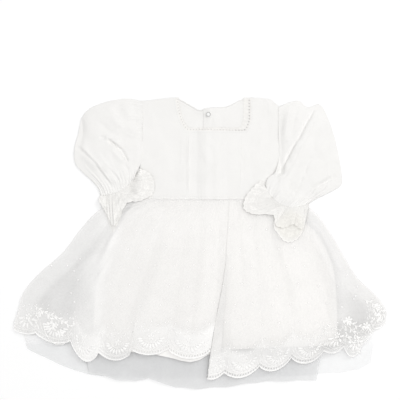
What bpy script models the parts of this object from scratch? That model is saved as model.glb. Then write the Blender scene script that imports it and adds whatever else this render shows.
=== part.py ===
"""A baby's flower girl dress in white cotton and net, laid flat on its back with both sleeves folded in.

X runs across the dress, Y runs from the hem to the neck, and Z is up from the floor. Left and right are
as seen from above. Every piece rests on the pieces that it lies on, so its height is worked out from them.
"""

import math

import bmesh
import bpy
import numpy as np
from mathutils import Vector
from mathutils.bvhtree import BVHTree

# Driving sizes, in millimetres
MM = 0.001
SEAM_GAP = 0.3  # between two pieces that are sewn together
REST_GAP = 0.35  # between two pieces that lie on each other
NET_WALL = 1.0
LACE_WALL = 1.1
CLOTH_WALL = 1.3
HEM_WALL = 1.5  # net with the embroidered border on it
WAIST_Y = 64
ARMHOLE_LEFT_X = -86
ARMHOLE_RIGHT_X = 114
SHOULDER_Y = 205
BACK_EDGE_X = 4  # the free edge of the back's upper half
BACK_LAP = 18  # how far the lower half runs on under it
SNAP_X, SNAP_Y = 11, 187
SNAP_ACROSS = 7.6
SNAP_TALL = 1.4
SNAP_WELL = 3.4
SNAP_SEGMENTS = 24
SNAP_STEPS = ((0.45, 0.25), (0.4, 0), (0.1, -0.8))  # inset as a share of the rim, and its rise

# The fan of the skirt: its two side edges from the waist down, and how far its middle hangs below them
FAN = (
    # left_x, left_y, right_x, right_y, sag
    (-93, 63.5, 119, 63.5, 0),
    (-144, 50, 160, 50, 12),
    (-175, 20, 186, 20, 16),
    (-200, -13, 207, -16, 20),
    (-238, -47, 228, -50, 27),
    (-259, -74, 254, -75, 38),
    (-266, -100, 269, -97, 50),
    (-272, -126, 269, -116, 66),
    (-258, -160, 254, -182, 46),
)
# The lining is cut narrower than the net over it
LINING_FAN = (
    (-93, 63.5, 119, 63.5, 0),
    (-113, 38, 142, 38, 3),
    (-129, 10, 170, 12, 5),
    (-143, -28, 190, -28, 7),
    (-152, -68, 196, -68, 9),
    (-155, -112, 198, -112, 12),
    (-156, -147, 198, -149, 14),
    (-156, -178, 198, -178, 14),
)

# Hems, as places (x, y) on them from left to right
LINING_FRONT_HEM = (
    (-156, -147), (-131, -152), (-102, -157), (-73, -160), (-54, -164), (-44, -166), (-30, -170),
    (-15, -172), (-2, -169), (10, -162), (40, -154), (90, -152), (144, -150), (198, -148),
)
LINING_BACK_HEM = ((-156, -143), (-100, -150), (-20, -156), (60, -152), (140, -148), (198, -144))
FRONT_NET_HEM = (
    (-252, -152), (-218, -168), (-184, -180), (-169, -183), (-149, -191), (-124, -198), (-96, -202),
    (-76, -197), (-59, -203), (-37, -209), (-8, -213), (28, -210), (72, -204), (115, -201), (150, -200),
    (171, -196), (190, -184), (222, -175), (245, -160),
)
BACK_NET_HEM = (
    (-254, -153), (-218, -171), (-183, -187), (-146, -194), (-60, -197), (60, -196), (144, -193),
    (202, -189), (230, -184), (247, -174),
)

# Scallops of the embroidered hem: a row for each, its two ends and how far it bows out
FRONT_SCALLOPS_LEFT = (
    # left_x, left_y, right_x, right_y, depth
    (-272, -126, -240, -130, 4),
    (-240, -130, -189, -141, 9),
    (-189, -141, -148, -157, 22),
    (-148, -157, -101, -158, 12),
    (-101, -152, -47, -152, 9),
    (-47, -154, 12, -157, 11),
)
FRONT_SCALLOPS_RIGHT = (
    # left_x, left_y, right_x, right_y, depth
    (9, -196, 34, -187, 5),
    (34, -187, 85, -178, 12),
    (85, -178, 131, -165, 13),
    (131, -165, 178, -155, 14),
    (178, -155, 207, -149, 7),
    (207, -149, 234, -147, 17),
    (234, -147, 252, -124, 4),
    (252, -124, 269, -116, 3),
)
BACK_SCALLOP_LINE = (
    (-272, -120), (-240, -123), (-200, -140), (-150, -156), (-100, -162), (0, -166), (100, -163),
    (180, -152), (225, -136), (252, -115), (269, -108),
)
BACK_SCALLOPS = 12
BACK_SCALLOP_DEPTH = 9

# The deep pleat of the front net: places (x, y) on its free edge from the waist to the hem
PLEAT = ((41, 55), (38, 12), (36, -28), (30, -68), (21, -112), (14, -155), (9, -196))
PLEAT_TURN = 24  # how wide the cloth is turned under at the hem
PLEAT_STEP = 2.4
PLEAT_SPREAD = 70
PLEAT_RISE_Y = (45, -45)  # the pleat deepens between these heights
PLEAT_TURN_Y = (10, -170)
UNDER_NET_START = 0.24  # the under net is sewn to the lining this far down the fan
UNDER_NET_TOP = (0.13, 0.89)  # its two sides as shares across the fan, at the waist
UNDER_NET_LOW = (0.03, 0.98)  # and at the hem

# Folds that run down the front: both ends, half the width, and the height over what is below
NET_FOLDS = (
    # top_x, top_y, low_x, low_y, half_width, height
    (-70, 50, -205, -120, 16, 2.6),
    (-52, 48, -148, -150, 15, 3.0),
    (-32, 46, -82, -150, 16, 3.8),
    (-6, 44, -34, -150, 13, 2.6),
    (18, 44, 2, -140, 12, 2.2),
    (46, 44, 44, -170, 14, 3.8),
    (62, 46, 74, -150, 13, 2.6),
    (82, 46, 122, -150, 16, 3.6),
    (98, 50, 156, -140, 13, 2.6),
    (106, 52, 236, -120, 16, 2.4),
)
LINING_FOLDS = (
    (-40, 40, -92, -158, 18, 2.2),
    (14, 30, -16, -172, 20, 3.2),
    (70, 40, 78, -150, 20, 2.4),
    (96, 40, 150, -150, 18, 2.2),
)
UNDER_NET_FOLDS = (
    (-90, 10, -200, -176, 14, 2.0),
    (-60, 0, -112, -200, 14, 2.4),
    (-24, 0, -62, -200, 10, 2.6),
    (4, 0, -14, -212, 13, 2.8),
    (44, 0, 52, -206, 13, 2.4),
    (76, 0, 118, -202, 13, 2.4),
    (110, 6, 208, -180, 13, 2.0),
)
FOLD_FADE = 60  # a fold comes up over this distance from its top end
FOLD_START = 0.15  # the share of this that it has risen by at its end
WAIST_GATHERS = 15
GATHER_TALL = 1.3
GATHER_SHARE = 0.25  # how far down the skirt the gathers run
HEM_FLUTES = 13
HEM_FLUTE_TALL = 1.6
HEM_UNEVEN = 0.012
FLUTES_START = 0.4  # how far down the skirt the hem's flutes begin
SCALLOP_ROUND = 0.7

# How finely each layer of the skirt is divided: columns and rows of faces
BACK_NET_GRID = (60, 7)
LINING_BACK_GRID = (16, 6)
UNDER_NET_GRID = (34, 7)
LINING_FRONT_GRID = (34, 8)
FRONT_NET_COLUMNS = (34, 36)  # left and right of the pleat's edge
FRONT_NET_ROWS = (8, 2)  # above and below the shorter hem on the pleat's left

# The bodice: its side edges as places (y, x) from the waist up, then its top edges as places (x, y)
BODICE_LEFT_EDGE = ((WAIST_Y, -92), (90, -90), (125, -87), (148, ARMHOLE_LEFT_X), (212, ARMHOLE_LEFT_X))
BODICE_RIGHT_EDGE = ((WAIST_Y, 118), (90, 117), (125, 115), (148, ARMHOLE_RIGHT_X), (212, ARMHOLE_RIGHT_X))
FRONT_TOP = (
    (-86, 206.5), (-72, 207.5), (-58, 209.5), (-37, 211.5), (73, 211.5), (90, 210.5), (102, 208.5),
    (110, 202), (114, 198),
)
BACK_TOP = (
    (-86, 206), (-72, 207), (-58, 209), (-38, 211), (-33, 210), (-25, 206), (-15, 200), (-9, 196.5),
    (-5, 194), (1, 193), (4, 195.5), (21, 197), (36, 198), (46, 202), (54, 206.5), (66, 211),
    (90, 210), (102, 208), (110, 201.5), (114, 197.5),
)
NECK_SIDES = (
    # left_x, right_x, y, from the neck's low edge to the shoulders
    (-20, 66, 163),
    (-24, 69, 167),
    (-30, 73, 178),
    (-35, 73, 195),
    (-37, 73, 211.5),
)
BACK_BODICE_GRID = (12, 7)  # columns and rows of faces
BODICE_STRAP_COLUMNS = (8, 7)
BODICE_NECK_COLUMNS = 12
BODICE_LOW_ROWS = 8
BODICE_FOLDS = (
    (-20, 160, -18, 68, 2.6, 1.5),
    (-31, 150, -29, 72, 2.2, 1.0),
    (66, 158, 62, 68, 2.6, 1.0),
    (10, 150, 22, 100, 9, 1.6),
    (40, 140, 52, 84, 12, 1.3),
    (-60, 150, -52, 80, 13, 1.5),
    (92, 168, 84, 96, 12, 1.5),
)
WAIST_LIFT = 2.6  # the front's lower edge rises over the gathered seam
WAIST_LIFT_LENGTH = 26

# Neck lace: places (x, y) on its free edge from the left shoulder to the right one, and its row of holes
NECK_LACE_FREE_EDGE = (
    (-31.7, 211.8), (-29.7, 195.3), (-24.7, 178.3), (-18.7, 170.3), (-14.7, 168.3), (54.7, 168.3),
    (57.7, 170.3), (61.7, 178.3), (61.7, 195.3), (61.7, 211.8),
)
NECK_HOLE_PITCH = 7.6
NECK_HOLE_SHARE = 0.55
NECK_LACE_ROWS = (0.0, 0.14, 0.5, 1.0)  # across the strip: its edge, the row of holes and its free edge

# Sleeves: a row for each section from the armhole to the wrist, its inner and outer edge, its fullness,
# and how far its middle bows out towards the hand
SLEEVE_LEFT = (
    # inner_x, inner_y, outer_x, outer_y, full, bow
    (-86.3, 148, -86.3, 206, 0.3, 0),
    (-86.5, 146, -107, 210, 0.9, 0),
    (-86.7, 144, -131, 207, 1.0, 0),
    (-86.8, 141.5, -150, 201.5, 1.0, 0),
    (-86.9, 139, -165, 196, 1.0, 0),
    (-87, 136, -173, 182, 1.0, 0),
    (-86.4, 132.5, -178, 160, 1.0, 0),
    (-86, 128.5, -184, 137, 1.0, 0),
    (-86.3, 124, -183, 117, 1.0, 0),
    (-87, 119, -172, 103, 0.9, 1),
    (-88.4, 113, -159, 91, 0.8, 3),
    (-91, 106, -150, 80, 0.6, 6),
    (-94.5, 99.5, -146, 70, 0.3, 8.5),
)
SLEEVE_RIGHT = (
    # inner_x, inner_y, outer_x, outer_y, full, bow
    (114.3, 148, 114.3, 198, 0.3, 0),
    (114.6, 144, 130, 204, 0.9, 0),
    (114.9, 139, 146, 204, 1.0, 0),
    (115.1, 134, 162, 202.5, 1.0, 0),
    (115.4, 128, 178, 196, 1.0, 0),
    (114.5, 121, 186, 180, 1.0, 0),
    (112.5, 114, 195, 152, 1.0, 0),
    (110, 107, 201, 125, 1.0, 1),
    (106, 101, 205, 100, 1.0, 3),
    (100, 97, 204, 84, 0.9, 6),
    (96, 92, 188, 74, 0.8, 10),
    (94.5, 86, 172, 66, 0.6, 13),
    (95, 80, 158, 58, 0.3, 15),
)
SLEEVE_ROOM = 3.2  # the most room between a sleeve's two layers
SLEEVE_TOP_EXTRA = 1.2
SLEEVE_GATHERS = 6
SLEEVE_GATHER_TALL = 1.2
SLEEVE_FREE_ROWS = 3  # sections at the shoulder that lie on the floor beside the bodice
SIDE_WALL = 2.2  # a flat tube's side folds
MOST_SIDE_SHARE = 0.7
SLEEVE_COLUMNS = 12
SLEEVE_ROUND = 0.7  # how quickly its room grows from its sides
SLEEVE_GATHER_SHARE = 0.2
SLEEVE_FOLDS_LEFT = (
    (-96, 200, -104, 158, 4, 1.6),
    (-140, 196, -118, 168, 6, 1.6),
    (-152, 150, -128, 128, 4, 2.4),
    (-136, 158, -116, 132, 3.5, 2.2),
    (-168, 138, -136, 104, 6, 2.4),
    (-150, 108, -124, 86, 4, 1.8),
)
SLEEVE_FOLDS_RIGHT = (
    (122, 188, 128, 150, 4, 1.4),
    (157, 166, 116, 96, 5, 2.8),
    (166, 132, 142, 84, 7, 2.4),
    (186, 92, 160, 72, 4, 1.8),
    (180, 182, 168, 150, 6, 1.4),
)

# Cuff lace: places (x, y) on its free edge, from the inner to the outer side of the sleeve
CUFF_EDGE_LEFT = (
    (-89, 109), (-74, 102), (-67, 87), (-70, 71), (-88, 61), (-108, 56), (-121, 26), (-128, 15), (-138, 41),
    (-149, 62),
)
CUFF_EDGE_RIGHT = (
    (88, 92), (75, 81), (64, 66), (62, 50), (76, 42), (104, 40), (106, 22), (119, 4), (133, 2), (146, 14),
    (154, 40),
)
CUFF_WAVES = 9
CUFF_WAVE_TALL = 1.05
CUFF_WAVE_START = 0.35  # the share of it that the waves have at the wrist
CUFF_UNEVEN = 0.02
CUFF_ROWS = 4
CUFF_ROOM = 0.6
CUFF_SEAM_GAP = 0.6

WHITE_COTTON = (0.90, 0.89, 0.87, 1)
WHITE_NET = (0.80, 0.81, 0.83, 1)
WHITE_LACE = (0.92, 0.91, 0.88, 1)
CLEAR_PLASTIC = (0.85, 0.85, 0.83, 1)


HALVINGS = 24
TOP_SHARE = 0.2  # no hem lies higher on a fan than this share


def read_row(table, place):
    """The row of numbers at a place from 0 to 1 down a table, on a smooth curve through its rows."""
    rows = np.asarray(table, float)
    at = min(max(place, 0.0), 1.0) * (len(rows) - 1)
    low = min(int(at), len(rows) - 2)
    part = at - low
    before, first, second, after = (rows[min(max(low + k, 0), len(rows) - 1)] for k in (-1, 0, 1, 2))
    slope = (second - before) / 2
    next_slope = (after - first) / 2
    return (
        first * (2 * part**3 - 3 * part**2 + 1)
        + slope * (part**3 - 2 * part**2 + part)
        + second * (3 * part**2 - 2 * part**3)
        + next_slope * (part**3 - part**2)
    )


def line_at(table, place):
    """The second number of a line's places where the first one is place, by straight steps between them."""
    return float(np.interp(place, [row[0] for row in table], [row[1] for row in table]))


def ease(value):
    """0 to 1 with soft ends."""
    value = min(max(value, 0.0), 1.0)
    return value * value * (3 - 2 * value)


def wave(turns):
    """0 at whole numbers of turns and 1 half way between them."""
    return 0.5 - 0.5 * math.cos(2 * math.pi * turns)


def folds_height(folds, x, y):
    """How much the folds of a table lift the cloth at x, y."""
    tallest = 0.0
    for top_x, top_y, low_x, low_y, half_width, height in folds:
        along = Vector((low_x - top_x, low_y - top_y))
        place = Vector((x - top_x, y - top_y))
        share = place.dot(along) / along.length_squared
        across = (place - along * min(max(share, 0.0), 1.0)).length
        grown = ease(share * along.length / min(FOLD_FADE, along.length / 2) + FOLD_START)
        tallest = max(tallest, height * grown * math.exp(-((across / half_width) ** 2)))
    return tallest


def fan_place(fan, across, down):
    """The x and y of a place on a fan, both from 0 to 1."""
    left_x, left_y, right_x, right_y, sag = read_row(fan, down)
    x = left_x + (right_x - left_x) * across
    y = left_y + (right_y - left_y) * across - sag * 4 * across * (1 - across)
    return x, y


def halve(is_before, low, high):
    """The place between low and high where is_before stops being true."""
    for _ in range(HALVINGS):
        middle = (low + high) / 2
        if is_before(middle):
            low = middle
        else:
            high = middle
    return (low + high) / 2


def reach_of(path, hem):
    """How far down a fan a path over it meets the hem line."""

    def above_hem(down):
        x, y = path(down)
        return y > hem(x)

    return halve(above_hem, TOP_SHARE, 1.0)


def line_hem(table):
    return lambda x: line_at(table, x)


def scallop_hem(scallops):
    """A hem line of scallops, from the table of their ends."""

    def hem(x):
        x = min(max(x, scallops[0][0]), scallops[-1][2])
        for left_x, left_y, right_x, right_y, depth in scallops:
            if x <= right_x:
                share = (x - left_x) / (right_x - left_x)
                return left_y + (right_y - left_y) * share - depth * math.sin(math.pi * share) ** SCALLOP_ROUND
        return scallops[-1][3]

    return hem


def even_scallops(line, count, depth):
    ends = np.linspace(line[0][0], line[-1][0], count + 1)
    return [
        (left, line_at(line, left), right, line_at(line, right), depth)
        for left, right in zip(ends[:-1], ends[1:])
    ]


def pleat_x(y):
    return float(np.interp(-y, [-row[1] for row in PLEAT], [row[0] for row in PLEAT]))


# How pieces rest on each other
solids = {}
SAMPLES = 6  # a triangle is tried at this many steps along each side
BESIDE = ((0, 0), (1.6, 0), (-1.6, 0), (0, 1.6), (0, -1.6))  # what lies this near a point counts as under it
ABOVE_ALL = 500
SETTLE_ROUNDS = 80


def ground_under(names):
    """A function that gives the height in mm at which something can lie at x, y: 0 is the floor."""
    points, faces = [], []
    for name in names:
        mesh = solids[name].data
        start = len(points)
        points += [vert.co for vert in mesh.vertices]
        faces += [[start + i for i in face.vertices] for face in mesh.polygons]
    tree = BVHTree.FromPolygons(points, faces) if faces else None
    down = Vector((0, 0, -1))

    def height(x, y):
        tallest = 0.0
        for beside_x, beside_y in BESIDE if tree else ():
            place = tree.ray_cast(Vector((x + beside_x, y + beside_y, ABOVE_ALL)) * MM, down)[0]
            if place is not None:
                tallest = max(tallest, place.z / MM + REST_GAP)
        return tallest

    return height


def rest_heights(places, triangles, names):
    """The height in mm of each point of a cloth that just clears the pieces below it everywhere."""
    height = ground_under(names)
    places, triangles = np.asarray(places, float), np.asarray(triangles)
    level = np.array([height(x, y) for x, y in places])
    shares = np.array([
        (i / SAMPLES, j / SAMPLES, 1 - (i + j) / SAMPLES)
        for i in range(SAMPLES + 1)
        for j in range(SAMPLES + 1 - i)
    ])
    spots = np.einsum("sk,tkc->tsc", shares, places[triangles]).reshape(-1, 2)
    need = np.array([height(x, y) for x, y in spots])
    corners = np.repeat(triangles, len(shares), axis=0)
    weights = np.tile(shares, (len(triangles), 1))
    for _ in range(SETTLE_ROUNDS):
        lack = need - (level[corners] * weights).sum(axis=1)
        short = lack > 1e-4
        if not short.any():
            break
        lift = np.zeros(len(level))
        for corner in range(3):
            push = lack[short] * weights[short, corner] / (weights[short] ** 2).sum(axis=1)
            np.maximum.at(lift, corners[short, corner], push)
        level += lift
    return level


def material(name, colour, roughness):
    made = bpy.data.materials.new(name)
    made.use_nodes = True
    shader = made.node_tree.nodes["Principled BSDF"]
    shader.inputs["Base Color"].default_value = colour
    shader.inputs["Roughness"].default_value = roughness
    shader.inputs["Metallic"].default_value = 0.0
    made.diffuse_color = colour
    return made


def finish_solid(mesh, name, colour, roughness=0.9):
    """Turns a closed mesh into a named object."""
    bmesh.ops.recalc_face_normals(mesh, faces=mesh.faces)
    data = bpy.data.meshes.new(name)
    mesh.to_mesh(data)
    mesh.free()
    data.shade_smooth()
    data.set_sharp_from_angle(angle=math.radians(50))
    made = bpy.data.objects.new(name, data)
    bpy.context.scene.collection.objects.link(made)
    data.materials.append(material(name + "_finish", colour, roughness))
    solids[name] = made


def lay_sheet(name, size, place, wall, lift, under, colour, keep=None):
    """A cloth panel of columns and rows: placed, rested on the pieces under it, and given its wall upwards.

    place, wall and lift take a point's share across and down the panel, both from 0 to 1.
    """
    columns, rows = size
    mesh = bmesh.new()
    bmesh.ops.create_grid(mesh, x_segments=columns, y_segments=rows, size=0.5)
    for vert in mesh.verts:
        vert.co = (vert.co.x + 0.5, 0.5 - vert.co.y, 0)
    if keep is not None:
        unwanted = [face for face in mesh.faces if not keep(*face.calc_center_median().xy)]
        bmesh.ops.delete(mesh, geom=unwanted, context="FACES")
    bmesh.ops.triangulate(mesh, faces=mesh.faces)
    mesh.verts.index_update()
    thickness = mesh.verts.layers.float.new("thickness")
    shares = [(vert.co.x, vert.co.y) for vert in mesh.verts]
    places = [place(*share) for share in shares]
    level = rest_heights(places, [[vert.index for vert in face.verts] for face in mesh.faces], under)
    for vert, (x, y), low, share in zip(mesh.verts, places, level, shares):
        vert[thickness] = wall(x, y) * MM
        vert.co = (x * MM, y * MM, (low + lift(x, y, *share)) * MM)
    raised = bmesh.ops.extrude_face_region(mesh, geom=mesh.faces[:])["geom"]
    for vert in raised:
        if isinstance(vert, bmesh.types.BMVert):
            vert.co.z += vert[thickness]
    finish_solid(mesh, name, colour)


def even(value):
    return lambda *_: value


# Skirt


def skirt_panel(name, fan, hem, ends, size, wall, lift, under, colour, start=0.0):
    """A layer of the skirt between two side edges on its fan, from the waist or lower down to its hem."""
    reaches = {}

    def path(across):
        def at(down):
            left, right = ends(down)
            return fan_place(fan, left + (right - left) * across, down)

        return at

    def place(across, down):
        if across not in reaches:
            reaches[across] = reach_of(path(across), hem)
        return path(across)(start + (reaches[across] - start) * down)

    lay_sheet(name, size, place, even(wall), lift, under, colour)


def whole_width(_):
    return 0.0, 1.0


def under_net_width(down):
    """The net under the lining starts inside it and spreads to nearly the full width."""
    return tuple(top + (low - top) * down for top, low in zip(UNDER_NET_TOP, UNDER_NET_LOW))


def folds_of(table):
    return lambda x, y, *_: folds_height(table, x, y)


def gathers(across, down):
    """Small gathers at the waist and wide flutes at the hem."""
    at_waist = ease(1 - down / GATHER_SHARE)
    small = GATHER_TALL * at_waist * wave(WAIST_GATHERS * across)
    at_hem = ease((down - FLUTES_START) / (1 - FLUTES_START))
    uneven = across + HEM_UNEVEN * math.sin(17 * across)
    return small + HEM_FLUTE_TALL * at_hem * wave(HEM_FLUTES * uneven)


def pleat_across(down):
    """Where across the fan the pleat's edge lies."""

    def left_of_pleat(across):
        x, y = fan_place(FAN, across, down)
        return x < pleat_x(y)

    return halve(left_of_pleat, 0.0, 1.0)


def between(y, high_and_low):
    """How far y has come down from the first to the second of two heights, eased."""
    high, low = high_and_low
    return ease((high - y) / (high - low))


def pleat_lift(x, y):
    """The net right of the pleat's edge lies on the part that is turned under."""
    past = x - pleat_x(y)
    if past < -0.5:
        return 0.0
    return PLEAT_STEP * between(y, PLEAT_RISE_Y) * math.exp(-((past / PLEAT_SPREAD) ** 2))


def overlay_wall(x, y):
    past = x - pleat_x(y)
    return HEM_WALL if -1 <= past <= PLEAT_TURN * between(y, PLEAT_TURN_Y) else NET_WALL


PLEAT_STOPS = 25


def overlay_front(under):
    """The front net has one deep pleat: right of its edge the cloth lies higher and hangs lower."""
    columns, rows = sum(FRONT_NET_COLUMNS), sum(FRONT_NET_ROWS)
    pleat_share, turn_share = FRONT_NET_COLUMNS[0] / columns, FRONT_NET_ROWS[0] / rows
    left_hem, right_hem = scallop_hem(FRONT_SCALLOPS_LEFT), scallop_hem(FRONT_SCALLOPS_RIGHT)
    stops = np.linspace(0, 1, PLEAT_STOPS)
    pleat_line = [pleat_across(stop) for stop in stops]

    def left_path(share):
        return lambda down: fan_place(FAN, float(np.interp(down, stops, pleat_line)) * share, down)

    def right_path(share):
        def at(down):
            edge = float(np.interp(down, stops, pleat_line))
            return fan_place(FAN, edge + (1 - edge) * share, down)

        return at

    pleat_top = reach_of(left_path(1.0), left_hem)

    def place(across, down):
        if across <= pleat_share + 1e-6 and down <= turn_share + 1e-6:
            path = left_path(min(across / pleat_share, 1.0))
            return path(reach_of(path, left_hem) * down / turn_share)
        share = max(across - pleat_share, 0) / (1 - pleat_share)
        path = right_path(share)
        low = reach_of(path, right_hem)
        high = pleat_top * (1 - share) + low * turn_share * share
        if down <= turn_share:
            return path(high * down / turn_share)
        return path(high + (low - high) * (down - turn_share) / (1 - turn_share))

    def lift(x, y, *share):
        return folds_height(NET_FOLDS, x, y) + gathers(*share) + pleat_lift(x, y)

    def keep(across, down):
        return across > pleat_share or down < turn_share

    lay_sheet("overlay_front", (columns, rows), place, overlay_wall, lift, under, WHITE_NET, keep)


def skirt():
    """From the floor up: outer net, lining and under net of the back, then the same of the front."""
    scallops = even_scallops(BACK_SCALLOP_LINE, BACK_SCALLOPS, BACK_SCALLOP_DEPTH)
    skirt_panel(
        "overlay_back", FAN, scallop_hem(scallops), whole_width, BACK_NET_GRID,
        NET_WALL, even(0), [], WHITE_NET,
    )
    laid = ["overlay_back"]
    skirt_panel(
        "lining_back", LINING_FAN, line_hem(LINING_BACK_HEM), whole_width, LINING_BACK_GRID,
        CLOTH_WALL, even(0), laid, WHITE_COTTON,
    )
    laid.append("lining_back")
    for side, hem, folds in (("back", BACK_NET_HEM, ()), ("front", FRONT_NET_HEM, UNDER_NET_FOLDS)):
        skirt_panel(
            "petticoat_" + side, FAN, line_hem(hem), under_net_width, UNDER_NET_GRID,
            NET_WALL, folds_of(folds), laid, WHITE_NET, start=UNDER_NET_START,
        )
        laid.append("petticoat_" + side)
    skirt_panel(
        "lining_front", LINING_FAN, line_hem(LINING_FRONT_HEM), whole_width, LINING_FRONT_GRID,
        CLOTH_WALL, folds_of(LINING_FOLDS), laid, WHITE_COTTON,
    )
    laid.append("lining_front")
    overlay_front(laid)
    return laid + ["overlay_front"]


# Bodice


def back_half(name, free_edge_x, side_edge, under):
    """One half of the back, from its side seam to its free edge at the back opening."""

    def place(across, down):
        seam_x = line_at(side_edge, SHOULDER_Y + (WAIST_Y - SHOULDER_Y) * down)
        left, right = sorted((seam_x, free_edge_x))
        x = left + (right - left) * across
        top = line_at(BACK_TOP, x)
        return x, top + (WAIST_Y - top) * down

    lay_sheet(name, BACK_BODICE_GRID, place, even(CLOTH_WALL), even(0), under, WHITE_COTTON)


def front_bodice(under):
    """The front, with a square neck cut out of its upper middle."""
    left_strap, right_strap = BODICE_STRAP_COLUMNS
    columns = left_strap + BODICE_NECK_COLUMNS + right_strap
    high_rows = len(NECK_SIDES) - 1
    rows = BODICE_LOW_ROWS + high_rows
    first, second, turn = left_strap / columns, 1 - right_strap / columns, high_rows / rows
    neck_low, neck_high = NECK_SIDES[0][2], NECK_SIDES[-1][2]

    def place(across, down):
        """Rows run level up to the neck's low edge, then up the two straps to the shoulders."""
        below = max(down - turn, 0) / (1 - turn)
        row = NECK_SIDES[round(high_rows * (1 - min(down / turn, 1)))]
        y = row[2] + (WAIST_Y - row[2]) * below
        stops = (line_at(BODICE_LEFT_EDGE, y), row[0], row[1], line_at(BODICE_RIGHT_EDGE, y))
        x = float(np.interp(across, (0, first, second, 1), stops))
        rise = (y - neck_low) / (neck_high - neck_low)
        return x, y + max(rise, 0) * (line_at(FRONT_TOP, x) - neck_high)

    def keep(across, down):
        return down > turn or across < first or across > second

    def lift(x, y, *_):
        over_seam = ease(1 - (y - WAIST_Y) / WAIST_LIFT_LENGTH)
        return folds_height(BODICE_FOLDS, x, y) * (1 - over_seam) + WAIST_LIFT * over_seam

    lay_sheet("front_bodice", (columns, rows), place, even(CLOTH_WALL), lift, under, WHITE_COTTON, keep)


def neck_lace(under):
    """A strip inside the neck's edge with a row of holes. It turns the two corners of the neck with a mitre."""
    sewn = [(left_x + SEAM_GAP, y + SEAM_GAP) for left_x, _, y in reversed(NECK_SIDES)]
    sewn += [(right_x - SEAM_GAP, y + SEAM_GAP) for _, right_x, y in NECK_SIDES]
    lengths = np.cumsum([0.0] + [math.dist(start, end) for start, end in zip(sewn[:-1], sewn[1:])])
    holes = round(lengths[-1] / NECK_HOLE_PITCH)
    bar = (1 - NECK_HOLE_SHARE) / 2
    stops = [0.0] + [(hole + edge) / holes for hole in range(holes) for edge in (bar, 1 - bar)] + [1.0]
    columns, rows = len(stops) - 1, len(NECK_LACE_ROWS) - 1

    def on_edge(edge, at):
        return Vector([np.interp(at, lengths, [point[k] for point in edge]) for k in (0, 1)])

    def place(along, inward):
        at = np.interp(along * columns, range(columns + 1), stops) * lengths[-1]
        share = np.interp(inward * rows, range(rows + 1), NECK_LACE_ROWS)
        return tuple(on_edge(sewn, at).lerp(on_edge(NECK_LACE_FREE_EDGE, at), float(share)))

    def keep(along, inward):
        is_hole_row = 1 / rows < inward < 2 / rows
        return not (is_hole_row and int(along * columns) % 2 == 1)

    lay_sheet("neck_lace", (columns, rows), place, even(LACE_WALL), even(0), under, WHITE_LACE, keep)


def snap(under):
    """The half of the press stud that shows: a low disc with a well in it."""
    base = ground_under(under)(SNAP_X, SNAP_Y)
    mesh = bmesh.new()
    radius = SNAP_ACROSS / 2
    bmesh.ops.create_cone(
        mesh, cap_ends=True, segments=SNAP_SEGMENTS, radius1=radius * MM, radius2=radius * MM, depth=SNAP_TALL * MM,
    )
    top = max(mesh.faces, key=lambda face: face.calc_center_median().z)
    rim = (radius - SNAP_WELL / 2) * MM
    for share, depth in SNAP_STEPS:
        bmesh.ops.inset_region(mesh, faces=[top], thickness=rim * share, depth=depth * MM)
    for vert in mesh.verts:
        vert.co += Vector((SNAP_X, SNAP_Y, base + SNAP_TALL / 2)) * MM
    finish_solid(mesh, "snap", CLEAR_PLASTIC, 0.35)


def bodice():
    back_half("back_bodice_left", BACK_EDGE_X + BACK_LAP, BODICE_LEFT_EDGE, [])
    back_half("back_bodice_right", BACK_EDGE_X, BODICE_RIGHT_EDGE, ["back_bodice_left"])
    backs = ["back_bodice_left", "back_bodice_right"]
    snap(["back_bodice_right"])
    front_bodice(backs)
    neck_lace(backs)
    return backs + ["front_bodice"]


# Sleeves and cuffs


def tube_skins(low, wall, gaps, extras):
    """The outer and the inner outline of a flat tube's section, each as its lower side and back over its upper."""
    last = len(low) - 1
    inner = [spot.copy() for spot in low]
    for end, next_one in ((0, 1), (last, last - 1)):
        reach = (low[next_one] - low[end]).length
        inner[end] = low[end].lerp(low[next_one], min(SIDE_WALL / reach, MOST_SIDE_SHARE))
    up = Vector((0, 0, 1))
    high = [spot + up * (2 * wall + gap + extra) for spot, gap, extra in zip(low, gaps, extras)]
    inner_low = [spot + up * wall for spot in inner]
    inner_high = [spot + up * gap for spot, gap in zip(inner_low, gaps)]
    return low + high[::-1], inner_low + inner_high[::-1]


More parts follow.
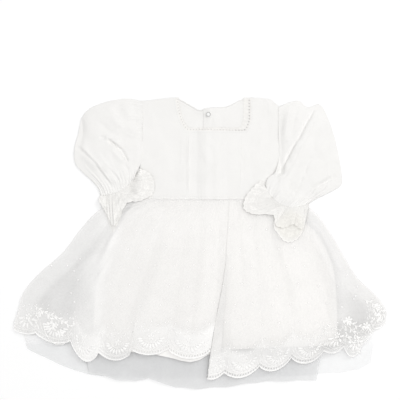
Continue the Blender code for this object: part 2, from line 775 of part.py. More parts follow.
def flat_tube(name, size, place, wall, room, extra, under, colour, free_rows=0):
    """A tube of cloth that lies flat and is open at both ends: its outer and inner skins, ring by ring.

    room is the height between its two layers, and extra is what its folds add on top. The first free_rows
    lie on the floor beside the piece that they are sewn to.
    """
    columns, rows = size
    wide = columns + 1
    shares = [(column / columns, row / rows) for row in range(rows + 1) for column in range(wide)]
    places = [place(*share) for share in shares]
    triangles = []
    for row in range(rows):
        for column in range(columns):
            first = row * wide + column
            triangles.append((first, first + 1, first + wide + 1))
            triangles.append((first, first + wide + 1, first + wide))
    level = rest_heights(places, triangles, under)
    if free_rows:
        level *= [ease((down * rows - free_rows) / 2) for _, down in shares]

    mesh = bmesh.new()
    rings = []
    for start in range(0, len(shares), wide):
        section = range(start, start + wide)
        low = [Vector((*places[k], level[k])) for k in section]
        gaps = [room(*shares[k]) for k in section]
        extras = [extra(*places[k], *shares[k]) for k in section]
        skins = tube_skins(low, wall, gaps, extras)
        rings.append([[mesh.verts.new(spot * MM) for spot in skin] for skin in skins])

    count = 2 * wide
    for ring, next_ring in zip(rings[:-1], rings[1:]):
        for skin, next_skin in zip(ring, next_ring):
            for k in range(count):
                after = (k + 1) % count
                # The diagonals follow those that the rest heights were worked out on.
                if k < columns:
                    mesh.faces.new((skin[k], skin[after], next_skin[after]))
                    mesh.faces.new((skin[k], next_skin[after], next_skin[k]))
                else:
                    mesh.faces.new((skin[k], skin[after], next_skin[k]))
                    mesh.faces.new((skin[after], next_skin[after], next_skin[k]))
    for outer, inner in (rings[0], rings[-1]):
        for k in range(count):
            after = (k + 1) % count
            mesh.faces.new((outer[k], outer[after], inner[after], inner[k]))
    finish_solid(mesh, name, colour)


def sleeve_place(table, across, down):
    """A place on a sleeve: across each section from its inner to its outer edge, bowed towards the hand."""
    inner_x, inner_y, outer_x, outer_y, _, bow = read_row(table, down)
    section = Vector((outer_x - inner_x, outer_y - inner_y))
    hand = Vector((section.y, -section.x)).normalized()
    if table is SLEEVE_LEFT:
        hand.negate()
    place = Vector((inner_x, inner_y)) + section * across + hand * bow * 4 * across * (1 - across)
    return place.x, place.y


def sleeve(name, table, folds, under):
    """A full sleeve, gathered at the shoulder and at the wrist."""

    def place(across, down):
        return sleeve_place(table, across, down)

    def room(across, down):
        full = read_row(table, down)[4]
        return SEAM_GAP + SLEEVE_ROOM * full * max(math.sin(math.pi * across), 0) ** SLEEVE_ROUND

    def extra(x, y, across, down):
        full = read_row(table, down)[4]
        puffed = SLEEVE_TOP_EXTRA * full * math.sin(math.pi * across)
        at_ends = ease(1 - down / SLEEVE_GATHER_SHARE) + ease(1 - (1 - down) / SLEEVE_GATHER_SHARE)
        gathered = SLEEVE_GATHER_TALL * at_ends * wave(SLEEVE_GATHERS * across)
        return puffed + folds_height(folds, x, y) * full + gathered

    size = (SLEEVE_COLUMNS, len(table) - 1)
    flat_tube(name, size, place, CLOTH_WALL, room, extra, under, WHITE_COTTON, SLEEVE_FREE_ROWS)


def cuff_lace(name, sleeve_table, free_edge, under):
    """A gathered strip of lace, closed to a ring round the wrist and pressed flat."""

    def place(across, down):
        wrist = Vector(sleeve_place(sleeve_table, across, 1.0))
        edge = Vector(read_row(free_edge, across))
        spot = wrist + (edge - wrist).normalized() * CUFF_SEAM_GAP
        spot += (edge - spot) * down
        return spot.x, spot.y

    def room(_, down):
        return SEAM_GAP + CUFF_ROOM * down

    def waves(_x, _y, across, down):
        uneven = across + CUFF_UNEVEN * math.sin(9 * across)
        return CUFF_WAVE_TALL * (CUFF_WAVE_START + (1 - CUFF_WAVE_START) * down) * wave(CUFF_WAVES * uneven)

    size = (CUFF_WAVES * 4, CUFF_ROWS)
    flat_tube(name, size, place, LACE_WALL, room, waves, under, WHITE_LACE)


def stand_on_origin():
    """Moves everything so that the middle of the underside is the origin."""
    spots = [vert.co for made in solids.values() for vert in made.data.vertices]
    lows = [min(spot[k] for spot in spots) for k in range(3)]
    highs = [max(spot[k] for spot in spots) for k in range(3)]
    shift = Vector((-(lows[0] + highs[0]) / 2, -(lows[1] + highs[1]) / 2, -lows[2]))
    for made in solids.values():
        for vert in made.data.vertices:
            vert.co += shift
        made.data.update()


def build():
    for old in list(bpy.data.objects):
        bpy.data.objects.remove(old, do_unlink=True)
    body = skirt() + bodice()
    sleeve("sleeve_left", SLEEVE_LEFT, SLEEVE_FOLDS_LEFT, body)
    sleeve("sleeve_right", SLEEVE_RIGHT, SLEEVE_FOLDS_RIGHT, body)
    cuff_lace("cuff_lace_left", SLEEVE_LEFT, CUFF_EDGE_LEFT, body)
    cuff_lace("cuff_lace_right", SLEEVE_RIGHT, CUFF_EDGE_RIGHT, body)
    stand_on_origin()


build()
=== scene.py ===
# %% [markdown]
# # A baby's flower girl dress, laid flat
#
# The dress lies on its back on a pale floor, with both sleeves folded in over it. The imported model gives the
# true form of every panel as a wall about a millimetre thick. Each step below takes one kind of cloth, lays a
# finer sheet on that form, and adds the creases, gathers, lace and stitches that the solids leave out.

# %% Load the frame
import math

import bmesh
import bpy
import numpy as np
from mathutils import Matrix, Vector, noise
from mathutils.bvhtree import BVHTree


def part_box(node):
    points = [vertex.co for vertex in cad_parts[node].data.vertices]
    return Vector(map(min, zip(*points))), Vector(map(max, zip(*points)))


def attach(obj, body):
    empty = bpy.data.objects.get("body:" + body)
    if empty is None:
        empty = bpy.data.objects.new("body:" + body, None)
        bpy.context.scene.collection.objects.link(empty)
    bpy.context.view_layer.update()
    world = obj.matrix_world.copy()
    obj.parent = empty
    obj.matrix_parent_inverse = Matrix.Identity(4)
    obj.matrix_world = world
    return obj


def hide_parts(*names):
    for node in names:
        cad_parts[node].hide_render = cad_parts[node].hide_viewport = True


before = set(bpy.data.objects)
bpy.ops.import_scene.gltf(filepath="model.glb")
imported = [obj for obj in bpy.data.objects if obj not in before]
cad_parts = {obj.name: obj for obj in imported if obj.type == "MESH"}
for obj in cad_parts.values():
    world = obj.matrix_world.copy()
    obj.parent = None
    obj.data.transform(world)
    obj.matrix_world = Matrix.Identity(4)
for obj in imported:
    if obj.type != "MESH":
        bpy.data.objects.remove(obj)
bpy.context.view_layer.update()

MM = 0.001
print("solids:", sorted(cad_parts))

# %% [markdown]
# ## Where the panels are
#
# All places below are in millimetres on the floor plan, as on a pattern cutter's table. The bodice solid's
# corner ties this plan to the frame, so that the sheets still meet their solids if the part is moved.

# %% Tie the plan to the frame
BODICE_RIGHT_X, WAIST_Y = 118, 64
bodice_low, bodice_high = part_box("front_bodice")
SHIFT_X = bodice_high.x / MM - BODICE_RIGHT_X
SHIFT_Y = bodice_low.y / MM - WAIST_Y
print("the plan's shift in mm:", round(SHIFT_X, 2), round(SHIFT_Y, 2))


def ease(value):
    """0 to 1 with soft ends, for a number or an array."""
    value = np.clip(value, 0.0, 1.0)
    return value * value * (3 - 2 * value)


def read_rows(table, places):
    """Rows of a table at places from 0 to 1 down it, on a smooth curve. The last axis is the columns."""
    rows = np.asarray(table, float)
    at = np.clip(places, 0, 1) * (len(rows) - 1)
    low = np.minimum(at.astype(int), len(rows) - 2)
    part = (at - low)[..., None]
    before, first = rows[np.maximum(low - 1, 0)], rows[low]
    second, after = rows[low + 1], rows[np.minimum(low + 2, len(rows) - 1)]
    slope, next_slope = (second - before) / 2, (after - first) / 2
    return (
        first * (2 * part**3 - 3 * part**2 + 1)
        + slope * (part**3 - 2 * part**2 + part)
        + second * (3 * part**2 - 2 * part**3)
        + next_slope * (part**3 - part**2)
    )


def line_at(line, places):
    """The second number of a line's places where the first one is given."""
    line = np.asarray(line, float)
    return np.interp(places, line[:, 0], line[:, 1])


# %% [markdown]
# ## A sheet on its solid
#
# Real cotton and net are a fraction of a millimetre thick, so each is one fine grid of faces. A cloth
# simulation could drape such a grid, but the solids already hold the form in which the dress lies. So rays
# sent down and up on the solid find the middle of its wall, and smoothing along Z takes its facets away.

# %% Heights inside a solid's wall
search_trees = {}


def tree_of(name):
    """A search tree of a solid, or of a piece that is already made."""
    if name not in search_trees:
        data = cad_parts[name].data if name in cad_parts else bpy.data.objects[name].data
        points = [vert.co.copy() for vert in data.vertices]
        search_trees[name] = BVHTree.FromPolygons(points, [list(face.vertices) for face in data.polygons])
    return search_trees[name]


def wall_heights(node, x, y):
    """The height in mm of the solid's underside and of its top at each place of the plan."""
    tree = tree_of(node)
    low, high = np.zeros(len(x)), np.zeros(len(x))
    for k, (plan_x, plan_y) in enumerate(zip(x, y)):
        spot = Vector((plan_x + SHIFT_X, plan_y + SHIFT_Y, 0)) * MM
        top = tree.ray_cast(spot + Vector((0, 0, 1)), Vector((0, 0, -1)))[0]
        if top is None:
            near = tree.find_nearest(spot + Vector((0, 0, 0.01)))[0]
            inside = spot.lerp(Vector((near.x, near.y, 0)), 1.02)
            top = tree.ray_cast(inside + Vector((0, 0, 1)), Vector((0, 0, -1)))[0] or near
            bottom = tree.ray_cast(inside - Vector((0, 0, 1)), Vector((0, 0, 1)))[0] or near
        else:
            bottom = tree.ray_cast(spot - Vector((0, 0, 1)), Vector((0, 0, 1)))[0] or top
        low[k], high[k] = bottom.z / MM, top.z / MM
    return low, high


# %% [markdown]
# ## Creases, rumples and gathers
#
# Handled cloth has three kinds of relief: creases that run between two places, slow unevenness all over, and
# gathers along a seam. They could be sculpted by hand, but here each is a height that is worked out for any
# place of the plan and added to a sheet's points, so a crease is moved by changing one row of a table.

# %% Folds and creases
CREASE_BEND = 0.25  # how far a crease sways to its sides, in half widths
CREASE_FADE = 0.25  # the share of a crease over which each end fades
RUMPLE_GAIN = 1.6  # noise keeps well inside its range from -1 to 1


def creases(table, x, y):
    """Soft ridges, and troughs where the height is negative.

    Each row is both ends (x, y), half the width, the height, and how far it leans: its steeper side is on the
    left of its direction where the lean is above 0.
    """
    total = np.zeros(len(x))
    for from_x, from_y, to_x, to_y, half_width, height, lean in table:
        along_x, along_y = to_x - from_x, to_y - from_y
        length = math.hypot(along_x, along_y)
        share = ((x - from_x) * along_x + (y - from_y) * along_y) / length**2
        side = ((x - from_x) * along_y - (y - from_y) * along_x) / length
        side = side + half_width * CREASE_BEND * np.sin(share * 5.0 + from_x)
        width = half_width * np.where(side > 0, 1 + lean, 1 - lean)
        window = ease(share / CREASE_FADE + 0.25) * ease((1 - share) / CREASE_FADE + 0.25)
        total += height * window * np.exp(-((side / width) ** 2))
    return total


def rumple(x, y, size, seed):
    """Slow unevenness from -1 to 1, as in cloth that has been handled."""
    bumps = [noise.noise(Vector((px / size, py / size, seed))) for px, py in zip(x, y)]
    return np.array(bumps) * RUMPLE_GAIN


GATHER_WIDTHS, GATHER_HEIGHTS, GATHER_LENGTHS = (0.55, 1.45), (0.35, 1.0), (0.35, 1.0)


def gather_line(count, seed):
    """Uneven gathers: where each begins along the seam, from 0 to 1, how tall it is and how far it runs."""
    chance = np.random.default_rng(seed)
    widths = chance.uniform(*GATHER_WIDTHS, count)
    ends = np.concatenate([[0], np.cumsum(widths)]) / widths.sum()
    return ends, chance.uniform(*GATHER_HEIGHTS, count), chance.uniform(*GATHER_LENGTHS, count)


def gathered(across, away, line, reach):
    """The height of gathers, 0 to 1, at a share across the seam and a distance away from it."""
    ends, tall, long = line
    at = np.clip(np.searchsorted(ends, across) - 1, 0, len(tall) - 1)
    turn = (across - ends[at]) / (ends[at + 1] - ends[at])
    fade = np.exp(-((away / (reach * long[at])) ** 2))
    return tall[at] * np.sin(math.pi * np.clip(turn, 0, 1)) * fade


# %% Build a sheet
def plan_grid(columns, rows):
    """A bmesh grid whose points run from 0 to 1 across and from 0 to 1 down, with those shares as arrays."""
    mesh = bmesh.new()
    bmesh.ops.create_grid(mesh, x_segments=columns, y_segments=rows, size=0.5, calc_uvs=False)
    for vert in mesh.verts:
        vert.co = (vert.co.x + 0.5, 0.5 - vert.co.y, 0)
    mesh.verts.index_update()
    shares = np.array([vert.co[:2] for vert in mesh.verts])
    return mesh, np.clip(shares[:, 0], 0, 1), np.clip(shares[:, 1], 0, 1)


def set_places(mesh, x, y, z):
    """Moves the points of a mesh to places of the plan and heights, all in mm."""
    for vert, place in zip(mesh.verts, np.column_stack([x + SHIFT_X, y + SHIFT_Y, z]) * MM):
        vert.co = place


def smooth_heights(mesh, passes):
    """Evens out the heights between neighbours. More passes take away wider bumps."""
    for _ in range(passes):
        bmesh.ops.smooth_vert(
            mesh, verts=mesh.verts, factor=0.5, use_axis_x=False, use_axis_y=False, use_axis_z=True,
        )


def heights_of(mesh):
    return np.array([vert.co.z for vert in mesh.verts]) / MM


def lift_heights(mesh, lift):
    for vert, rise in zip(mesh.verts, lift):
        vert.co.z += rise * MM


def write_uv(mesh, u, v):
    """Stores two lengths in metres at each point as the UV map that laces and borders follow."""
    layer = mesh.loops.layers.uv.new("cloth")
    for face in mesh.faces:
        for loop in face.loops:
            loop[layer].uv = (u[loop.vert.index] * MM, v[loop.vert.index] * MM)


def make_object(mesh, name, material, replaces=(), faces_up=True):
    """Turns a bmesh into a smooth piece that rides on the part."""
    mesh.normal_update()
    if faces_up:
        flip = [face for face in mesh.faces if face.normal.z < 0]
        if len(flip) > len(mesh.faces) / 2:
            bmesh.ops.reverse_faces(mesh, faces=mesh.faces)
    area = sum(face.calc_area() for face in mesh.faces)
    data = bpy.data.meshes.new(name)
    mesh.to_mesh(data)
    mesh.free()
    data.shade_smooth()
    data.materials.append(material)
    piece = bpy.data.objects.new(name, data)
    bpy.context.scene.collection.objects.link(piece)
    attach(piece, "root")
    if replaces:
        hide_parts(*replaces)
    print(name, len(data.polygons), "faces,", round(area, 4), "square metres")
    return piece


# %% [markdown]
# ## The finishes
#
# Everything is white, so the finishes differ in how they are woven, not in colour. Cotton is opaque and a
# little warm, with a fine plain weave. The two nets are knitted with holes about a millimetre wide: the outer
# one is bright, and the stiffer net under the lining is coloured grey as painted shade, for the shade between
# the layers and under them. They let the layers below show through in part, which is why they look grey where
# nothing but the floor lies under them. Lace is denser.
#
# A picture of cloth could be wrapped round each piece, but a pattern of nodes stays sharp at any size. Weave
# and cells are taken from Object coordinates, which are metres here, so that they have their real size.

# %% Node helpers
def new_material(name, colour, roughness):
    made = bpy.data.materials.new(name)
    made.use_nodes = True
    made.diffuse_color = (*colour, 1)
    shader = made.node_tree.nodes["Principled BSDF"]
    shader.inputs["Base Color"].default_value = (*colour, 1)
    shader.inputs["Roughness"].default_value = roughness
    shader.inputs["Specular IOR Level"].default_value = 0.25
    return made, made.node_tree.nodes, made.node_tree.links, shader


def add_node(nodes, kind, **values):
    node = nodes.new(kind)
    for name, value in values.items():
        if name in node.inputs:
            node.inputs[name].default_value = value
        else:
            setattr(node, name, value)
    return node


def calculate(nodes, links, operation, *values, clamp=False):
    """A Math node fed with sockets or plain numbers."""
    node = nodes.new("ShaderNodeMath")
    node.operation = operation
    node.use_clamp = clamp
    for socket, value in zip(node.inputs, values):
        if hasattr(value, "default_value"):
            links.new(value, socket)
        else:
            socket.default_value = value
    return node.outputs[0]


def between(nodes, links, value, low, high, to_low=0.0, to_high=1.0):
    """A Map Range node that eases a value from one range to another."""
    node = add_node(nodes, "ShaderNodeMapRange", interpolation_type="SMOOTHSTEP")
    links.new(value, node.inputs["Value"])
    for name, number in (("From Min", low), ("From Max", high), ("To Min", to_low), ("To Max", to_high)):
        node.inputs[name].default_value = number
    return node.outputs["Result"]


def object_place(nodes):
    """The Object coordinates, in metres."""
    return add_node(nodes, "ShaderNodeTexCoord").outputs["Object"]


def plan_place(nodes, links):
    """X and Y of the Object coordinates."""
    parts = add_node(nodes, "ShaderNodeSeparateXYZ")
    links.new(object_place(nodes), parts.inputs[0])
    return parts.outputs["X"], parts.outputs["Y"]


def cloth_place(nodes, links):
    """The UV map that follows the cloth, and its two lengths in metres: along an edge and above it."""
    uv = add_node(nodes, "ShaderNodeUVMap", uv_map="cloth").outputs["UV"]
    parts = add_node(nodes, "ShaderNodeSeparateXYZ")
    links.new(uv, parts.inputs[0])
    return uv, parts.outputs["X"], parts.outputs["Y"]


def clouds(nodes, links, place, scale, detail):
    """Soft noise from 0 to 1."""
    noise_node = add_node(nodes, "ShaderNodeTexNoise", Scale=scale, Detail=detail)
    links.new(place, noise_node.inputs["Vector"])
    return noise_node.outputs["Fac"]


def cell_edges(nodes, links, place, size):
    """The distance from the edges of net cells of a size in metres, in cells."""
    cells = add_node(
        nodes, "ShaderNodeTexVoronoi", feature="DISTANCE_TO_EDGE", voronoi_dimensions="2D", Scale=1 / size,
    )
    links.new(place, cells.inputs["Vector"])
    return cells.outputs["Distance"]


def distance_to(nodes, links, place, spot):
    """The distance from a spot, in metres."""
    away = add_node(nodes, "ShaderNodeVectorMath", operation="DISTANCE")
    links.new(place, away.inputs[0])
    away.inputs[1].default_value = spot
    return away.outputs["Value"]


def away_from(nodes, links, value, middle):
    """How far a value is from a middle, to either side of it."""
    return calculate(nodes, links, "ABSOLUTE", calculate(nodes, links, "SUBTRACT", value, middle))


def beads(nodes, links, along, pitch):
    """From 0 to 1 and back to 0, once for each pitch in metres."""
    turn = calculate(nodes, links, "MULTIPLY", along, math.pi / pitch)
    return calculate(nodes, links, "ABSOLUTE", calculate(nodes, links, "SINE", turn))


def raise_bumps(nodes, links, shader, height, strength, distance):
    """Makes a height from 0 to 1 look raised by a distance in metres."""
    bump = add_node(nodes, "ShaderNodeBump", Strength=strength, Distance=distance)
    links.new(height, bump.inputs["Height"])
    links.new(bump.outputs["Normal"], shader.inputs["Normal"])


WEAVE_STRENGTH, WEAVE_DEPTH = 0.35, 0.0002
SLUB_SCALE, SLUB_HEIGHT = 260.0, 1.4


def weave_bump(nodes, links, shader, place, thread):
    """A plain weave of threads in two directions, each a thread's width in metres, and slubs among them."""
    across = add_node(nodes, "ShaderNodeTexWave", bands_direction="X", wave_profile="SIN")
    down = add_node(nodes, "ShaderNodeTexWave", bands_direction="Y", wave_profile="SIN")
    for wave in (across, down):
        links.new(place, wave.inputs["Vector"])
        wave.inputs["Scale"].default_value = math.pi / (10 * thread)  # at 1, a wave is pi / 10 metres long
        wave.inputs["Distortion"].default_value = 0.6
        wave.inputs["Detail"].default_value = 1.0
    slubs = clouds(nodes, links, place, SLUB_SCALE, 3.0)
    height = calculate(nodes, links, "ADD", across.outputs["Fac"], down.outputs["Fac"])
    height = calculate(nodes, links, "MULTIPLY_ADD", slubs, SLUB_HEIGHT, height)
    raise_bumps(nodes, links, shader, height, WEAVE_STRENGTH, WEAVE_DEPTH)


def shade_colour(nodes, links, shader, place, light, dark, size):
    """Two close whites mixed by slow noise of a size in metres, as washed cloth has."""
    cloud = add_node(nodes, "ShaderNodeTexNoise", Scale=1 / size, Detail=4.0, Roughness=0.55)
    links.new(place, cloud.inputs["Vector"])
    share = between(nodes, links, cloud.outputs["Fac"], 0.35, 0.65)
    mix = add_node(nodes, "ShaderNodeMix", data_type="RGBA")
    links.new(share, mix.inputs["Factor"])
    for socket in mix.inputs:
        if socket.type == "RGBA":
            socket.default_value = (*(dark if socket.name == "A" else light), 1)
    colour = next(socket for socket in mix.outputs if socket.type == "RGBA")
    links.new(colour, shader.inputs["Base Color"])


def tint(nodes, links, shader, share, colour):
    """Mixes a colour into what the base colour already is, by a share from 0 to 1."""
    before = shader.inputs["Base Color"].links[0].from_socket
    mix = add_node(nodes, "ShaderNodeMix", data_type="RGBA")
    links.new(share, mix.inputs["Factor"])
    first, second = [socket for socket in mix.inputs if socket.type == "RGBA"]
    links.new(before, first)
    second.default_value = (*colour, 1)
    links.new(next(socket for socket in mix.outputs if socket.type == "RGBA"), shader.inputs["Base Color"])


# %% [markdown]
# Cotton is a plain weave: threads go over and under each other in two directions. Single threads can't be
# told at this distance, so two crossed waves drive a bump, and no thread is modelled.

# %% Cotton
def cotton(name, light, dark, thread):
    """Opaque cotton: a plain weave, and a roughness that changes with its grain."""
    made, nodes, links, shader = new_material(name, light, 0.9)
    shader.inputs["Sheen Weight"].default_value = 0.25
    shader.inputs["Sheen Roughness"].default_value = 0.5
    place = object_place(nodes)
    shade_colour(nodes, links, shader, place, light, dark, 0.045)
    weave_bump(nodes, links, shader, place, thread)
    grain = clouds(nodes, links, place, 900.0, 2.0)
    links.new(between(nodes, links, grain, 0.3, 0.7, 0.82, 0.96), shader.inputs["Roughness"])
    return made


FINE_THREAD, LINING_THREAD = 0.00042, 0.0005
COTTON = cotton("white_cotton", (0.893, 0.884, 0.867), (0.877, 0.868, 0.851), FINE_THREAD)
LINING = cotton("lining_cotton", (0.965, 0.952, 0.935), (0.952, 0.939, 0.922), LINING_THREAD)
print("cottons made")


# %% [markdown]
# Net is mostly holes. Modelled threads would be millions of faces, so each net is a plain sheet, and its
# cover, which is the shader's alpha, says how much its threads hide. A pattern of cells makes that uneven, as
# the knitted holes do.

# %% Net
NET_HOLE, NET_THREAD_COVER = 0.0013, 0.16


def net(name, colour, cover):
    """Net with a cover of threads between 0 and 1: the mesh shows as cells whose edges cover more."""
    made, nodes, links, shader = new_material(name, colour, 0.75)
    shader.inputs["Sheen Weight"].default_value = 0.15
    place = object_place(nodes)
    thread = between(nodes, links, cell_edges(nodes, links, place, NET_HOLE), 0.04, 0.22, 1.0, 0.0)
    uneven = between(nodes, links, clouds(nodes, links, place, 30.0, 3.0), 0.3, 0.7, -0.03, 0.03)
    alpha = calculate(nodes, links, "MULTIPLY_ADD", thread, NET_THREAD_COVER, cover)
    alpha = calculate(nodes, links, "ADD", alpha, uneven, clamp=True)
    links.new(alpha, shader.inputs["Alpha"])
    raise_bumps(nodes, links, shader, thread, 0.15, 0.0002)
    shade_colour(nodes, links, shader, place, colour, tuple(part * 0.98 for part in colour), 0.03)
    return made, nodes, links, shader, alpha


# painted shade: both under nets are coloured grey for the shade between the skirt's layers and under them; the
# front's, which hangs lowest over the floor, is the greyest
UNDER_NET_SHADED_COLOUR = (0.83, 0.835, 0.84)
UNDER_FRONT_SHADED_COLOUR = (0.815, 0.818, 0.822)
# where the stiff net is thinner, in metres: near its side edges, and on the plan at the right and higher up
SIDE_EDGE, RIGHT_ZONE, UPPER_ZONE, HEM_ZONE = 0.15, (0.06, 0.19), (-0.152, -0.128), (-0.15, -0.10)
SIDE_COVER, RIGHT_COVER, UPPER_COVER = 0.35, 0.5, 0.18  # the part of its cover that is left there


def stiff_net(name, colour, cover):
    """Net that is thinner near its side edges and its top, where it is less gathered, and on the right."""
    made, nodes, links, shader, alpha = net(name, colour, cover)
    _, from_side, _ = cloth_place(nodes, links)
    near_side = between(nodes, links, from_side, 0.0, SIDE_EDGE, SIDE_COVER, 1.0)
    plan_x, plan_y = plan_place(nodes, links)
    at_hem = between(nodes, links, plan_y, *HEM_ZONE, 1.0, 0.0)
    near_side = calculate(nodes, links, "MAXIMUM", near_side, at_hem)
    sparse = between(nodes, links, plan_x, *RIGHT_ZONE, 1.0, RIGHT_COVER)
    high_up = between(nodes, links, plan_y, *UPPER_ZONE, 1.0, UPPER_COVER)
    thinner = calculate(nodes, links, "MULTIPLY", near_side, high_up)
    thinner = calculate(nodes, links, "MULTIPLY", thinner, sparse)
    links.new(calculate(nodes, links, "MULTIPLY", alpha, thinner), shader.inputs["Alpha"])
    return made


UNDER_NET = stiff_net("under_net_of_the_back", UNDER_NET_SHADED_COLOUR, 0.345)
UNDER_NET_FRONT = stiff_net("under_net_of_the_front", UNDER_FRONT_SHADED_COLOUR, 0.62)
print("under net made")

# %% [markdown]
# The outer net has an embroidered border. Near the hem its ground is filled with thread, apart from a row of
# small eyelets, so its cover rises there. The UV map holds metres along the hem and metres above it, and the
# pattern reads that map, because it has to follow the scalloped edge.


# %% Embroidered net
OUTER_NET_COLOUR, OUTER_NET_COVER = (0.982, 0.974, 0.962), 0.38
# painted shade: the back's outer net gets this greyer colour on its left, where the front and the back lie on
# each other and less light reaches it
BACK_NET_LEFT_SHADE = (0.93, 0.932, 0.934)
# the close folds beside the lining: where they end along X, the lining's edge, and how that edge slants, as
# from Y, to Y and how far it has moved in at both
LEFT_FOLDS, LEFT_LINING_EDGE, LEFT_SLANT = (-0.190, -0.156), (-0.152, -0.130), (-0.075, 0.03, 0.0, 0.027)
RIGHT_FOLDS, RIGHT_LINING_EDGE, RIGHT_SLANT = (0.204, 0.236), (0.180, 0.196), (-0.06, 0.03, 0.0, 0.032)
FOLDS_ABOVE_HEM = (-0.125, -0.105)
# how the cover and the worked ground change across the skirt: from X, to X, and their values at both
COVER_ACROSS, COVER_AT_RIGHT = (-0.18, 0.18, 0.17, -0.05), (0.185, 0.215, 0.0, 0.10)
GROUND_ACROSS, GROUND_AT_RIGHT = (-0.12, 0.02, 0.35, 1.28), (0.15, 0.19, 1.0, 0.15)
# where the painted shade on the back's outer net fades out: from X, to X
LEFT_SHADE_SPAN = (-0.10, 0.12)
CORDED_EDGE = (0.0006, 0.0022)  # the hem's corded edge fades out between these heights in metres
EYELET_PITCH, EYELET_LINE_ABOVE = 0.0042, 0.0042
EYELET_HALF = (0.0008, 0.0017)  # an eyelet's edge is between these distances from its middle
GROUND_ENDS, GROUND_COVER = (0.032, 0.048), 0.30  # the worked ground fades out between these heights


def beside_lining(nodes, links, plan_x, plan_y):
    """1 where the net lies in close folds beside the lining's edges, and 0 further out and over it."""
    left = between(nodes, links, plan_y, *LEFT_SLANT)
    left = calculate(nodes, links, "SUBTRACT", plan_x, left)
    left = calculate(
        nodes, links, "MULTIPLY", between(nodes, links, left, *LEFT_FOLDS),
        between(nodes, links, left, *LEFT_LINING_EDGE, 1.0, 0.0),
    )
    right = between(nodes, links, plan_y, *RIGHT_SLANT)
    right = calculate(nodes, links, "ADD", plan_x, right)
    right = calculate(
        nodes, links, "MULTIPLY", between(nodes, links, right, *RIGHT_FOLDS, 1.0, 0.0),
        between(nodes, links, right, *RIGHT_LINING_EDGE),
    )
    above_hem = between(nodes, links, plan_y, *FOLDS_ABOVE_HEM)
    return calculate(nodes, links, "MAXIMUM", left, calculate(nodes, links, "MULTIPLY", right, above_hem))


def bordered_net(name, folded=0.25, left_shade=None):
    """The outer net with its border.

    Folded is how much more it covers beside the lining. Left_shade is a greyer colour painted on its left as
    painted shade, where the front and the back lie on each other and less light reaches it.
    """
    made, nodes, links, shader, alpha = net(name, OUTER_NET_COLOUR, OUTER_NET_COVER)
    plan_x, plan_y = plan_place(nodes, links)
    denser = between(nodes, links, plan_x, *COVER_ACROSS)
    at_right = between(nodes, links, plan_x, *COVER_AT_RIGHT)
    denser = calculate(nodes, links, "ADD", denser, at_right)
    alpha = calculate(nodes, links, "ADD", alpha, denser)
    if folded:
        close_folds = beside_lining(nodes, links, plan_x, plan_y)
        alpha = calculate(nodes, links, "MULTIPLY_ADD", close_folds, folded, alpha)
    if left_shade:
        # painted shade: a greyer colour on the left
        shaded_left = between(nodes, links, plan_x, *LEFT_SHADE_SPAN, 1.0, 0.0)
        tint(nodes, links, shader, shaded_left, left_shade)
    _, along, above = cloth_place(nodes, links)
    dots = beads(nodes, links, along, EYELET_PITCH)
    band = between(nodes, links, above, *CORDED_EDGE, 1.0, 0.0)
    row = between(nodes, links, away_from(nodes, links, above, EYELET_LINE_ABOVE), *EYELET_HALF, 1.0, 0.0)
    open_row = calculate(nodes, links, "MULTIPLY", dots, row)
    ground = between(nodes, links, above, *GROUND_ENDS, GROUND_COVER, 0.0)
    wider = between(nodes, links, plan_x, *GROUND_ACROSS)
    ground = calculate(nodes, links, "MULTIPLY", ground, wider)
    narrower = between(nodes, links, plan_x, *GROUND_AT_RIGHT)
    ground = calculate(nodes, links, "MULTIPLY", ground, narrower)
    filled = calculate(nodes, links, "MAXIMUM", band, ground)
    filled = calculate(nodes, links, "MULTIPLY", filled, calculate(nodes, links, "SUBTRACT", 1.0, open_row))
    total = calculate(nodes, links, "ADD", alpha, filled, clamp=True)
    links.new(total, shader.inputs["Alpha"])
    return made


OUTER_NET = bordered_net("outer_net")
BACK_NET = bordered_net("outer_net_of_the_back", folded=0, left_shade=BACK_NET_LEFT_SHADE)


def thread_finish(name, colour):
    """Twisted embroidery thread: a slight gloss and fine ridges."""
    made, nodes, links, shader = new_material(name, colour, 0.6)
    shader.inputs["Sheen Weight"].default_value = 0.3
    place = object_place(nodes)
    twist = add_node(nodes, "ShaderNodeTexWave", bands_direction="DIAGONAL")
    links.new(place, twist.inputs["Vector"])
    twist.inputs["Scale"].default_value = 520.0
    twist.inputs["Distortion"].default_value = 2.0
    raise_bumps(nodes, links, shader, twist.outputs["Fac"], 0.5, 0.0002)
    shade_colour(nodes, links, shader, place, colour, tuple(part * 0.97 for part in colour), 0.006)
    return made


EMBROIDERY = thread_finish("embroidery_thread", (0.985, 0.978, 0.965))
SEWING = thread_finish("sewing_thread", (0.83, 0.825, 0.81))
print("outer net and threads made")

# %% [markdown]
# ## The skirt
#
# Each layer of the skirt is a fan: gathered to the waist and spread wide at the hem. A sheet's columns run
# down the fan as the cloth does, and each stops where it meets the hem line, so the threads, the gathers and
# the border all follow the cloth. A flat sheet trimmed to the outline would be quicker, but its rows would
# run across the folds. From the floor up lie the outer net, the lining and the under net of the back, and
# then the under net, the lining and the outer net of the front.

